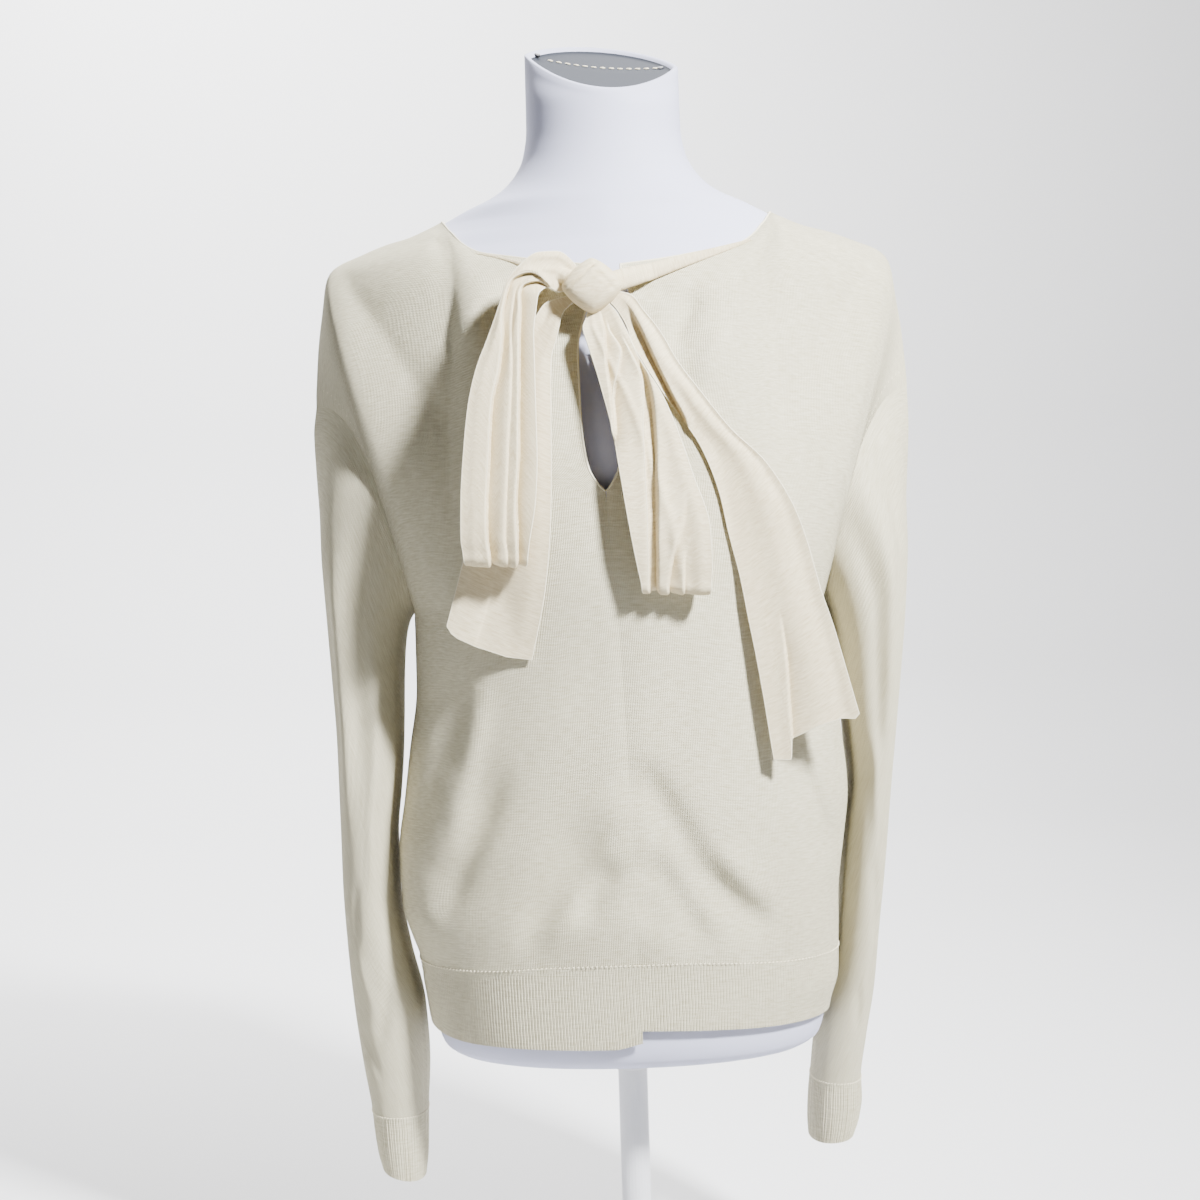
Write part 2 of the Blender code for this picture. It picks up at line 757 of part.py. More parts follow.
def sleeve_pieces(side_name, side, edges):
    """A sleeve from its armhole to the cuff seam, and the ribbed cuff."""
    front, back = edges
    armhole = np.concatenate([front, back[-2:0:-1]])
    armhole[:, 0] += side * ARMHOLE_SHIFT
    half_turn = math.pi * (1 - yoke_shares())
    angles = np.concatenate([half_turn, -half_turn[-2:0:-1]])
    rows = SLEEVE_ROWS[side_name] + CUFF_ROWS[side_name]
    rings = np.array([sleeve_ring(row, side, angles) for row in rows])
    off = armhole - rings[0]
    for i in range(ARMHOLE_FADE_RINGS + 1):
        rings[i] += off * (1 - smoothstep(i / ARMHOLE_FADE_RINGS))
    if side < 0:
        rings = rings[:, ::-1]
    seam = len(SLEEVE_ROWS[side_name]) - 1
    sleeve, cuff = rings[: seam + 1], rings[seam:]
    normals = shared_normals([sleeve, cuff], closed=True)
    trims = (("low", SEAM_TRIM), ("high", SEAM_TRIM))
    make_wall("sleeve_" + side_name, sleeve, normals[0], "knit", trims=trims, closed=True)
    make_wall("cuff_" + side_name, cuff, normals[1], "rib", trims=(("low", SEAM_TRIM),), closed=True)


# ---------------------------------------------------------------- the bow


def front_of(objects):
    """A function that gives the frontmost y of the objects at a place seen from the front."""
    trees = []
    for item in objects:
        points = [v.co / MM for v in item.data.vertices]
        trees.append(BVHTree.FromPolygons(points, [list(p.vertices) for p in item.data.polygons]))

    def depth(x, z):
        nearest = 0.0
        for tree in trees:
            hit = tree.ray_cast(Vector((x, -400, z)), Vector((0, 1, 0)))[0]
            if hit is not None:
                nearest = min(nearest, hit.y)
        return nearest

    return depth


def pleat_depth(name, share):
    """How far the pleats press a ribbon in at a share of its width."""
    depth = np.zeros_like(share)
    for place, width, deep in PLEATS[name]:
        depth += deep * np.exp(-(((share - place) / width) ** 2))
    return depth


def meet_knot(points, gap=KNOT_GAP):
    """Moves points sideways and up or down until they lie just off the knot."""
    centre, half = np.array(KNOT_CENTRE), np.array(KNOT_HALF)
    off = (points - centre) / half
    beside = np.abs(off[:, 0]) ** KNOT_POWER + np.abs(off[:, 2]) ** KNOT_POWER
    wanted = (1 + gap / half.mean()) ** KNOT_POWER - np.abs(off[:, 1]) ** KNOT_POWER
    scale = (wanted / beside) ** (1 / KNOT_POWER)
    points[:, 0] = centre[0] + (points[:, 0] - centre[0]) * scale
    points[:, 2] = centre[2] + (points[:, 2] - centre[2]) * scale


def ribbon_grid(rows, name, across, under, lift=LAYER_LIFT):
    """A ribbon's front face: stations down, shares across, kept in front of what lies under it."""
    share = np.linspace(0, 1, across + 1)
    press = pleat_depth(name, share)
    grid = np.zeros((len(rows), across + 1, 3))
    for i, (left_x, left_z, right_x, right_z, reach) in enumerate(rows):
        grown = smoothstep(i / PLEAT_GROWTH_ROWS)
        grid[i, :, 0] = left_x + (right_x - left_x) * share
        grid[i, :, 2] = left_z + (right_z - left_z) * share
        grid[i, :, 1] = -reach + press * grown
    for point in grid.reshape(-1, 3):
        point[1] = min(point[1], under(point[0], point[2]) - lift - RIBBON_WALL)
    return grid


def tail_piece(side_name, under):
    name = "tail_" + side_name
    grid = ribbon_grid(TAIL_ROWS[side_name], name, TAIL_COLUMNS_ACROSS, under)
    meet_knot(grid[0])
    normals = shared_normals([grid])[0]
    inward = normals * np.where(normals[..., 1:2] > 0, 1, -1)
    return make_wall("bow_" + name, grid, inward, "knit", thickness=RIBBON_WALL)


def loop_piece(side_name, under):
    """A loop: its front layer runs down from the knot, turns under and runs back up behind."""
    name = "loop_" + side_name
    front = ribbon_grid(LOOP_ROWS[side_name], name, LOOP_COLUMNS_ACROSS, under, lift=LOOP_HOLLOW)
    meet_knot(front[0], LOOP_KNOT_GAP[side_name])
    back_rows = [
        (row[0] + LOOP_INSET, row[1], row[2] - LOOP_INSET, row[3], 0) for row in LOOP_ROWS[side_name][2:]
    ]
    back = ribbon_grid(back_rows, name, LOOP_COLUMNS_ACROSS, under)
    nearest = back[..., 1].min(axis=1)
    for i, row in enumerate(back):
        row[:, 1] = nearest[max(i - 1, 0) : i + 2].min()
    # The turn: stations on a half circle below the last ones.
    half = (front[-1] + back[-1]) / 2
    toward = (front[-1] - back[-1]) / 2
    drop = np.abs(toward[:, 1:2]) * LOOP_TURN_DROP * np.array([0, 0, -1])
    turn = []
    for k in range(1, LOOP_TURN_STATIONS + 1):
        angle = k * math.pi / (LOOP_TURN_STATIONS + 1)
        turn.append(half + toward * math.cos(angle) + drop * math.sin(angle))
    grid = np.concatenate([front, np.array(turn), back[::-1]])
    normals = shared_normals([grid])[0]
    middle = normals[2, LOOP_COLUMNS_ACROSS // 2, 1]
    inward = normals if middle > 0 else -normals
    return make_wall("bow_" + name, grid, inward, "knit", thickness=RIBBON_WALL)


def knot_piece():
    """A squat closed pad."""
    points, faces = [], []
    centre, half = np.array(KNOT_CENTRE), np.array(KNOT_HALF)
    for ring in range(1, KNOT_RINGS):
        rise, spread = superellipse(math.pi * ring / KNOT_RINGS, KNOT_POWER)
        for k in range(KNOT_RING_POINTS):
            c, s = superellipse(2 * math.pi * k / KNOT_RING_POINTS, KNOT_POWER)
            points.append(centre + half * np.array([c * spread, s * spread, rise]))
    top = len(points)
    points.append(centre + half * np.array([0, 0, 1]))
    points.append(centre - half * np.array([0, 0, 1]))
    for ring in range(KNOT_RINGS - 2):
        for k in range(KNOT_RING_POINTS):
            after = (k + 1) % KNOT_RING_POINTS
            low, high = ring * KNOT_RING_POINTS, (ring + 1) * KNOT_RING_POINTS
            faces.append([low + k, low + after, high + after, high + k])
    for k in range(KNOT_RING_POINTS):
        after = (k + 1) % KNOT_RING_POINTS
        last = (KNOT_RINGS - 2) * KNOT_RING_POINTS
        faces.append([k, after, top])
        faces.append([last + k, last + after, top + 1])
    return finish_mesh("bow_knot", points, faces, "knit")


def capped_rings(rings):
    """Points and faces of a closed solid through rings, with a flat cap on each end."""
    count = len(rings[0])
    points = [point for ring in rings for point in ring]
    faces = [list(range(count)), list(range(len(points) - count, len(points)))]
    for ring in range(len(rings) - 1):
        for k in range(count):
            after = (k + 1) % count
            low, high = ring * count, (ring + 1) * count
            faces.append([low + k, low + after, high + after, high + k])
    return points, faces


def band_piece(side_name, under):
    """A rolled band that lies along the neckline and thins out towards the shoulder."""
    rows = np.array(BAND_ROWS[side_name], float)
    path = Path(rows)
    centres, radii = [], []
    for share in np.linspace(0, 1, BAND_STEPS):
        x, z, radius, reach = path.at(share)
        rises = radius * np.linspace(-1, 1, 7)
        surface = min(under(x, z + rise) - math.sqrt(radius**2 - rise**2) for rise in rises)
        centres.append(np.array([x, min(-reach, surface - BAND_LIFT), z]))
        radii.append(radius)
    rings = []
    for i, (centre, radius) in enumerate(zip(centres, radii)):
        ahead = centres[min(i + 1, len(centres) - 1)] - centres[max(i - 1, 0)]
        ahead /= np.linalg.norm(ahead)
        up = np.cross(ahead, (0, 1, 0))
        up /= np.linalg.norm(up)
        out = np.cross(up, ahead)
        turns = np.arange(BAND_SIDES) * 2 * math.pi / BAND_SIDES
        rings.append([centre + radius * (math.cos(a) * up + math.sin(a) * out) for a in turns])
    points, faces = capped_rings(rings)
    return finish_mesh("neck_band_" + side_name, points, faces, "knit")


def bow_pieces():
    """The tails lie on the front, the loops over them, and the knot holds them all."""
    laid = [bpy.data.objects[name] for name in ("front_left", "front_right", "form_torso")]
    laid += [band_piece(side_name, front_of(laid)) for side_name, _ in SIDES]
    laid += [tail_piece(side_name, front_of(laid)) for side_name, _ in SIDES]
    for side_name, _ in SIDES:
        loop_piece(side_name, front_of(laid))
    knot_piece()


# ---------------------------------------------------------------- the form and its stand


def figure_ring(z, inset=0.0, drop=0.0):
    """One section of the dress form. Sections of the neck lean with its sloping top."""
    angles = np.arange(FIGURE_RING_POINTS) * 2 * math.pi / FIGURE_RING_POINTS
    c, s = superellipse(angles, FIGURE.at("power", z))
    depth = np.where(s < 0, FIGURE.at("front", z), FIGURE.at("back", z)) - inset
    x = (FIGURE.at("half_width", z) - inset) * c
    y = depth * s
    lean = np.clip((z - NECK_TILT_FROM) / (NECK_TOP - NECK_TILT_FROM), 0, 1) * NECK_TOP_SLOPE
    return np.stack([x, y, z + lean * y - drop], axis=-1)


def figure_piece():
    """The padded form: closed all round, with a slightly sunk top to its neck."""
    heights = [row[0] for row in FIGURE_ROWS]
    between = [(a + b) / 2 for a, b in zip(heights, heights[1:]) if b - a > 40]
    rings = [figure_ring(z) for z in sorted(heights + between)]
    rings.append(figure_ring(NECK_TOP, inset=NECK_RIM))
    rings.append(figure_ring(NECK_TOP, inset=NECK_RIM + 1, drop=NECK_RECESS))
    points, faces = capped_rings(rings)
    return finish_mesh("form_torso", points, faces, "form")


def turned_piece(name, profile, finish, sides=48):
    """A solid turned about the upright axis, from (radius, height) rows, low to high."""
    turns = np.arange(sides) * 2 * math.pi / sides
    rings = [[(r * math.cos(a), r * math.sin(a), z) for a in turns] for r, z in profile]
    points, faces = capped_rings(rings)
    return finish_mesh(name, points, faces, finish)


def stand_pieces():
    edge = BASE_RADIUS - BASE_BEVEL
    base = (
        (edge, 0),
        (BASE_RADIUS, BASE_BEVEL),
        (BASE_RADIUS, BASE_HEIGHT - BASE_BEVEL),
        (edge, BASE_HEIGHT),
    )
    turned_piece("stand_base", base, "stand", sides=64)
    top = FIGURE_ROWS[0][0] - TOUCH_GAP
    foot = BASE_HEIGHT + TOUCH_GAP
    pole = (
        (COLLAR_RADIUS, foot),
        (COLLAR_RADIUS, foot + COLLAR_HEIGHT),
        (POLE_RADIUS, foot + COLLAR_HEIGHT + 4),
        (POLE_RADIUS, top - COLLAR_HEIGHT - 4),
        (COLLAR_RADIUS, top - COLLAR_HEIGHT),
        (COLLAR_RADIUS, top),
    )
    turned_piece("stand_pole", pole, "stand", sides=28)


# ---------------------------------------------------------------- building


def make_material(name, colour, roughness, metallic):
    made = bpy.data.materials.new(name)
    made.use_nodes = True
    shader = made.node_tree.nodes["Principled BSDF"]
    shader.inputs["Base Color"].default_value = (*colour, 1)
    shader.inputs["Roughness"].default_value = roughness
    shader.inputs["Metallic"].default_value = metallic
    return made


def clear_scene():
    for item in list(bpy.data.objects):
        bpy.data.objects.remove(item)


clear_scene()
MATERIALS = {name: make_material(name, *values) for name, values in COLOURS.items()}
armhole_edges = body_pieces()
for side_name, side in SIDES:
    sleeve_pieces(side_name, side, armhole_edges[side_name])
figure_piece()
bow_pieces()
stand_pieces()
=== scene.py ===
"""Looks of the bow-neck sweater on its dress form: fine knitted shells, folds, seams and light.

Left and right are as seen from the front, so left is -X. Tables and sizes are in millimetres,
and every mesh is scaled to metres as it is made. Only the lights, the floor and the flat cuts
are in metres.
"""

import json
import math

import bmesh
import bpy
import numpy as np
from mathutils import Matrix, Vector
from mathutils.bvhtree import BVHTree

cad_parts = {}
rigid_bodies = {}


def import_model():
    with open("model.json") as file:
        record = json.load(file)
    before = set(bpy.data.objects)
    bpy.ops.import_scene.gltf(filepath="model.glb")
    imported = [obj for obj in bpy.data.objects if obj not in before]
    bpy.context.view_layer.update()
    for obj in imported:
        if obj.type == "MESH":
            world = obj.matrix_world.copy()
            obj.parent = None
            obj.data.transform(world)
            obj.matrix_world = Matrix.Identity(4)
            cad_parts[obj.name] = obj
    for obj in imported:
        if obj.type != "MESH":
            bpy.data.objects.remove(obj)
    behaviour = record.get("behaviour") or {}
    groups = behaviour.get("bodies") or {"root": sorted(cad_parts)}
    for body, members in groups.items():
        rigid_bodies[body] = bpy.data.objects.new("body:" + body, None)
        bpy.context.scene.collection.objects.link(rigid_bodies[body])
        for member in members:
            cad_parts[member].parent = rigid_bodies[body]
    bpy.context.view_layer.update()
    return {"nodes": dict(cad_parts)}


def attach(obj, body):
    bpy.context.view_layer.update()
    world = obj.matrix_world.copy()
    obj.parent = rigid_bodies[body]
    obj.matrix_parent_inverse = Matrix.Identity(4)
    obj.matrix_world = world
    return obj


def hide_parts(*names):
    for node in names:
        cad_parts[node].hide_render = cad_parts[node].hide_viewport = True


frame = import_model()

MM = 0.001
SIDES = (("left", -1), ("right", 1))

# Cloth: the thickness of its walls, its distance from what lies under it, and its seams.
SHELL = 1.1
RIBBON_SHELL = 0.9
LAYER_LIFT = 2.2
FIGURE_CLEARANCE = 2.1
ARMHOLE_SHIFT = 0.1
ARMHOLE_GROOVE = 0.7
CENTRE_GROOVE = 0.9
GROOVE_COLUMNS = 2
# What lies under a ribbon is looked for from here, in front of the whole part.
RAY_START = -400

# Meshes: the map's units to a millimetre, the angle from which an edge is sharp, in degrees,
# and a length below which nothing is divided.
UV_SCALE = 0.1
SHARP_ANGLE = 55
TINY = 1e-9

# The camera, as worked out from the photograph. Angles are in degrees.
CAMERA_PLACE = (-13.5, -1500, 560)
CAMERA_ROLL = 1.82
CAMERA_PITCH = 1.5
CAMERA_LENS = 60
CAMERA_SENSOR = 36

# The dress form: half width, depth in front and behind, and the power of its rounded outline.
FIGURE_COLUMNS = ("z", "half_width", "front", "back", "power")
FIGURE_ROWS = (
    (186, 118, 74, 76, 2.2),
    (189, 132, 86, 88, 2.2),
    (196, 141, 95, 97, 2.2),
    (210, 145, 99, 101, 2.2),
    (262, 148, 102, 104, 2.2),
    (310, 147, 98, 104, 2.2),
    (360, 138, 92, 97, 2.2),
    (410, 124, 84, 84, 2.2),
    (455, 118, 82, 76, 2.2),
    (510, 124, 94, 78, 2.2),
    (560, 135, 111, 84, 2.2),
    (605, 143, 121, 89, 2.2),
    (635, 152, 119, 92, 2.2),
    (665, 171, 112, 93, 2.2),
    (700, 187, 103, 92, 2.2),
    (735, 198, 95, 88, 2.1),
    (752, 203, 92, 85, 1.95),
    (766, 204, 87, 81, 1.75),
    (773, 198, 84, 79, 1.65),
    (780, 184, 80, 76, 1.6),
    (788, 162, 77, 73, 1.6),
    (793, 146, 75, 71, 1.6),
    (800, 130, 72, 68, 1.6),
    (806, 118, 69, 66, 1.7),
    (813, 104, 66, 64, 1.85),
    (820, 88, 62, 61, 1.9),
    (828, 76, 58.5, 58.5, 1.95),
    (838, 67, 55.5, 56.5, 2.0),
    (850, 61, 53.5, 55.5, 2.0),
    (870, 57.5, 52.5, 55, 2.0),
    (922, 57, 52, 55, 2.0),
)
# Its rings: the points in each, how many parts at least lie between two rows and how high a part
# is, and how far the rings that close the foot are drawn in.
FIGURE_RING_POINTS = 144
FIGURE_ROWS_BETWEEN = 3
FIGURE_RING_GAP = 6
FOOT_INSETS = (60, 30, 12, 4)

# The form's neck: its top slopes to the front and to one side, is pinched to two corners and
# sags between them.
NECK_TILT_FROM = 850
NECK_TOP = 922
NECK_TOP_SLOPE = 0.518
NECK_SIDE_SLOPE = -0.108
PINCH_REACH = 26
PINCH_SHARPNESS = 0.55
PINCH_SAG = 5.5
NECK_RECESS = 3
# The rim rolls over to the sunk top. Columns: how far in, how far down.
NECK_RIM = (
    (0.6, -0.5),
    (1.6, -0.9),
    (2.8, -0.7),
    (3.8, 0.0),
    (4.6, 1.6),
    (5.2, 2.6),
    (8, 3.0),
    (16, 3.0),
    (30, 2.9),
    (46, 2.8),
)
# The last rings, and all that they enclose, are dark.
DARK_RINGS = 6

# The stitched line across the sunk top, and a small slot at each end of it, drawn as a dark lozenge whose
# colour is painted shade for the inside of the slot.
TOP_SEAM_Y = 11
TOP_SEAM_ENDS = (-38, 41)
TOP_SEAM_POINTS = 40
TOP_SEAM_LIFT = 0.3
SLOT_HALF_WIDTH = 2.6
SLOT_HALF_DEPTH = 2.4
SLOT_POINTS = 24
# Columns: share of the slot's width and depth, height.
SLOT_PROFILE = ((0.7, -0.9), (1.0, 0.1), (0.9, 0.7), (0.3, 0.5))
# Columns: name, x, height over the sunk top.
SLOTS = (("slot_left", -47.5, 2.6), ("slot_right", 44.5, 0.4))

# The body cloth where it hangs free, below the armholes. Depths are at the middle.
BODY_COLUMNS = ("z", "left", "right", "front", "back")
BODY_ROWS = (
    (205, 149, 148, 105, 107),
    (219, 151, 150, 106, 107),
    (239, 154, 156, 107, 108),
    (262, 157, 157, 108.5, 108.5),
    (276, 162, 157.5, 111, 110),
    (300, 168.5, 158, 115, 112),
    (340, 169.5, 163, 117, 112),
    (376, 164.5, 167, 118, 109),
    (415, 159, 164, 119, 104.5),
    (460, 152.5, 158, 121, 99),
    (517, 152, 153, 127, 97),
)
BODY_POWER = 2.25
CHEST_Z = 517

# Where the ribbed hem is joined on, and its lower edge, from the middle (0) to the side (1).
HEM_COLUMNS = ("u", "seam", "left", "right", "back")
HEM_ROWS = (
    (0.0, 267, 211, 220, 214),
    (0.06, 267, 207, 219.5, 214),
    (0.5, 261, 207, 215, 214),
    (1.0, 259, 213, 213, 213),
)

# The middle of the front: the seam's sideways drift, and the keyhole's half opening above it.
CENTRE_COLUMNS = ("z", "drift", "opening")
CENTRE_ROWS = (
    (205, 7, 0),
    (300, 5, 0),
    (400, 3, 0),
    (500, -1, 0),
    (560, -5, 0),
    (597, -7, 0),
    (604, -7.5, 5),
    (612, -8, 9.6),
    (625, -7.5, 13),
    (645, -6.5, 16),
    (665, -5, 18),
    (700, -3, 20),
    (730, 0, 16),
    (757, 0, 8),
    (800, 0, 8),
)
CENTRE_SHARE = 0.35
KEYHOLE_FOOT = 597

# The neckline from the middle to the shoulder. Columns: x, z, how far it stands proud of the figure.
NECKLINE_FRONT = (
    (8, 757, 11),
    (36, 761, 7),
    (66, 767, 4),
    (92, 773, 3),
    (105, 782, 3),
    (115, 794, 3),
    (123, 806, 3),
)
NECKLINE_BACK = (
    (0, 797, 3),
    (40, 798, 3),
    (80, 801, 3),
    (108, 804, 3),
    (123, 806, 3),
)
# The shoulder line, from the neckline over the shoulder's end to the top of the sleeve.
# Columns: x, z.
SHOULDER_ROWS = (
    (123, 806),
    (149, 795),
    (164, 791),
    (186, 782.5),
    (202, 775.5),
    (209, 768),
    (212.6, 750),
    (218, 715),
    (221.5, 672),
)
NECKLINE_SHARE = 0.5

# Bezier handles of the cloth's columns above the chest: outwards, forwards (or backwards), up.
HANDLE_COLUMNS = ("u", "low_x", "low_y", "low_z", "top_x", "top_y", "top_z")
HANDLE_FRONT = (
    (0.0, 0, 8, 80, 0, 20, -58),
    (0.5, 6, 18, 95, -4, 72, -26),
    (0.75, 10, 34, 80, 0, 70, -12),
    (1.0, -4, 77.3, 0, -49, 77.3, 0),
)
HANDLE_BACK = (
    (0.0, 0, 6, 95, 0, 28, -40),
    (0.5, 6, 24, 100, -4, 80, -22),
    (0.75, 10, 48, 78, 0, 94, -12),
    (1.0, -4, 77.3, 0, -49, 77.3, 0),
)

# Soft troughs (positive depth) and ridges (negative) in the lower front.
# Columns: x and z of the upper end, x and z of the lower end, width, depth.
FOLDS = (
    (-104, 490, -150, 318, 13, 5),
    (-78, 418, -141, 282, 12, 6.5),
    (-92, 480, -132, 330, 11, -4),
    (-8, 378, -80, 270, 12, 5.5),
    (-4, 346, -40, 290, 10, 3),
    (3, 420, 60, 326, 11, 4),
    (34, 352, 108, 278, 12, 5.5),
    (8, 356, 62, 268, 11, 4),
    (118, 424, 158, 312, 10, 4),
)

# A sleeve's sections. Columns: x and z of the outermost point, x and z of the innermost point,
# half the depth, and the middle's y.
SLEEVE_ROWS = {
    "left": (
        (221.5, 672, 152, 517, 58, 0),
        (224, 650, 157, 509, 59, 0),
        (223, 621, 160, 497, 60, 0),
        (221.4, 588, 161.5, 481, 60, 0),
        (219.6, 550, 162.5, 461, 59, 0),
        (217.8, 510, 163.5, 438, 58, 1),
        (215.6, 466, 165, 411, 56, 2),
        (213.8, 420, 168, 381, 54, 4),
        (213.4, 370, 171.5, 348, 52, 6),
        (213.6, 318, 171.5, 308, 49, 8),
        (211.8, 266, 165, 264, 46, 9),
        (208.6, 220, 155.5, 220, 42, 10),
        (203.5, 177, 153.5, 180, 37, 10),
        (198, 141, 156, 140, 34, 10),
    ),
    "right": (
        (221.5, 672, 153, 517, 58, 0),
        (222, 648, 157, 509, 59, 0),
        (220.5, 619, 160, 497, 60, 1),
        (218.6, 586, 162, 481, 60, 3),
        (217.2, 548, 163.5, 461, 59, 6),
        (214.8, 506, 165.5, 438, 58, 10),
        (211, 464, 168, 411, 57, 14),
        (206.6, 420, 170, 381, 55, 18),
        (202, 371, 167, 350, 53, 23),
        (197.5, 318, 163.5, 308, 50, 28),
        (192, 266, 160, 264, 46, 32),
        (187.5, 220, 153.5, 222, 42, 35),
        (181, 182, 142, 184, 38, 36),
        (175.8, 148, 137.5, 149, 34, 36),
    ),
}
CUFF_ROWS = {
    "left": (
        (196.5, 124, 156.6, 123, 33, 10),
        (194.5, 109, 157.5, 105, 31.5, 10),
        (191.5, 97, 159.5, 89, 30, 10),
    ),
    "right": (
        (176, 133, 135.5, 131, 34, 36),
        (173.5, 117, 134.5, 114, 33, 36),
        (169, 104, 135, 102, 31, 36),
    ),
}
# Over its first rows a sleeve leaves the armhole's own line.
ARMHOLE_FADE_RINGS = 4
SLEEVE_POWER = 2.15

# Ribbons of the bow, from the knot to their end. Columns: x and z of the left edge, x and z of
# the right edge, and the least distance in front of the origin.
LOOP_ROWS = {
    "left": (
        (-25, 757, -34, 736, 124),
        (-35, 763, -39, 738, 129),
        (-48, 762, -43, 739, 134),
        (-61, 753, -46, 737, 138),
        (-70, 741, -49, 733, 141),
        (-76, 724, -51, 722, 143),
        (-84, 703, -53, 704, 146),
        (-92, 683, -53, 681, 148),
        (-98, 659, -53, 658, 150),
        (-102, 629, -53, 627, 151),
        (-105, 596, -55, 594, 151),
        (-106, 569, -60, 567, 149),
        (-105, 558, -62, 555, 146),
    ),
    "right": (
        (-17, 717, 3, 722, 128),
        (-19, 710, 10, 708, 133),
        (-16, 698, 15, 695, 137),
        (-12, 684, 21, 682, 140),
        (-7, 664, 32, 664, 143),
        (-1, 637, 43, 636, 146),
        (3, 609, 52, 607, 149),
        (8, 574, 62, 573, 151),
        (12, 550, 63, 548, 149),
        (15, 534, 62, 532, 146),
    ),
}
TAIL_ROWS = {
    "left": (
        (-44, 729, -33, 722, 121),
        (-52, 719, -36, 712, 122),
        (-63, 708, -38, 704, 122),
        (-77, 692, -42, 690, 122),
        (-85, 662, -43, 660, 122),
        (-92, 620, -44, 618, 121),
        (-100, 578, -46, 576, 120),
        (-110, 540, -51, 532, 118),
        (-120, 503, -62, 481, 116),
    ),
    "right": (
        (4, 723, 14, 733, 124),
        (11, 711, 22, 722, 126),
        (14, 700, 33, 707, 128),
        (22, 685, 45, 685, 129),
        (33, 667, 60, 664, 130),
        (48, 645, 80, 638, 129),
        (60, 625, 103, 615, 127),
        (71, 595, 122, 583, 125),
        (77, 566, 131, 557, 122),
        (84, 536, 139, 526, 120),
        (89, 507, 147, 501, 118),
        (94, 479, 155, 471, 116),
        (99, 446, 161, 448, 114),
        (104, 409, 164, 437, 112),
    ),
}

# The knot, a squat pad of wrapped cloth.
KNOT_CENTRE = (-12, -127, 739)
KNOT_HALF = (18, 12.5, 17)
KNOT_SPREAD = (1.16, 1.02, 1.12)
KNOT_CORNER = 1.35
KNOT_DEPTH_POWER = 2.6
KNOT_ROUNDNESS = 2.3
KNOT_END_ANGLE = 0.06
KNOT_HIDES = 0.45
KNOT_STATIONS = 56
KNOT_ROUND = 84
# Creases of the wrapped band. Columns: slant, place, width, depth.
KNOT_CREASES = (
    (2.3, 9.2, 0.9, 2.2),
    (2.3, 6.6, 2.2, -0.8),
    (2.3, -9.5, 1.4, 0.9),
    (0.75, 8.5, 1.5, 0.5),
)
# A ribbon is gathered towards the knot over its first rows.
GATHER_ROWS = 14
GATHER_SHARE = 0.165
GATHER_PULL = 0.25

# The loops: how much narrower the back layer is on each side, the room behind the front layer,
# and the turn at the foot.
LOOP_INSET = 3
LOOP_HOLLOW = 10
LOOP_TURN_ROWS = 12
LOOP_TURN_DROP = 0.9

# The rolled tie bands that lead along the neckline to the knot.
# Columns: x, z, radius, and the least distance in front of the origin.
BAND_ROWS = {
    "left": (
        (-18, 741, 4.6, 121),
        (-28.6, 745, 4.4, 117),
        (-44, 753, 3.2, 108),
        (-60, 760, 1.8, 0),
        (-76, 766.5, 1.0, 0),
        (-94, 771.5, 0.5, 0),
    ),
    "right": (
        (-8, 739, 7.0, 123),
        (5.9, 743, 7.4, 120),
        (24, 749, 6.4, 111),
        (46, 756.5, 4.8, 0),
        (66, 763, 3.4, 0),
        (84, 769, 2.2, 0),
        (102, 776, 0.8, 0),
    ),
}
BAND_FLAT = 0.6
BAND_LIFT = -0.5
BAND_STATIONS = 60
BAND_ROUND = 24
BAND_PROBES = 7
BAND_ROUNDS = 6
# The turn of the band's fold: how deep its line is, and where round the band it runs.
BAND_TURN_DEPTH = 0.1
BAND_TURN_ANGLE = 4.4
BAND_TURN_WIDTH = 0.25

# How finely the cloth is cut up.
NECK_COLUMNS_OF_CLOTH = 34
SHOULDER_COLUMNS_OF_CLOTH = 46
YOKE_ROWS_OF_CLOTH = 64
YOKE_CROWDING = 1.25
HANGING_ROWS_OF_CLOTH = 60
HEM_ROWS_OF_CLOTH = 12
HEM_COLUMNS_OF_CLOTH = 440
SLEEVE_ROWS_BETWEEN = 8
CUFF_POINTS = 320
RIBBON_STEPS = 110
RIBBON_ACROSS = 84

# Ribs of the hem and cuffs, flatter at the seam, and the hem's edge drawn in a little.
RIB_PITCH = 2.3
RIB_HEIGHT = 0.28
RIB_AT_SEAM = 0.2
HEM_EDGE_TURN = 0.25

# How much deeper the folds are than those of the solid, how quickly they begin and end, and
# the widths of their two sides.
FOLD_GAIN = 1.55
FOLD_ENDS = 3
FOLD_SIDES = (0.75, 1.5)
WAVE_DEPTH = 0.55

# More soft folds of the front, below the chest and beside the bow: as FOLDS.
FINE_FOLDS = (
    (-6, 343, -36, 300, 8, 2.5),
    (8, 322, 22, 286, 8, 2.0),
    (-28, 330, -66, 276, 8, -2.5),
    (60, 352, 100, 300, 10, -2.5),
    (-120, 420, -146, 330, 8, -3.0),
    (62, 742, 40, 690, 7, 4.0),
    (82, 716, 56, 668, 8, -2.5),
    (40, 744, 30, 728, 4, 2.0),
    (27, 746, 22, 732, 3, 1.5),
    (-52, 750, -96, 716, 9, 3.5),
    (-70, 752, -120, 700, 10, -2.0),
)

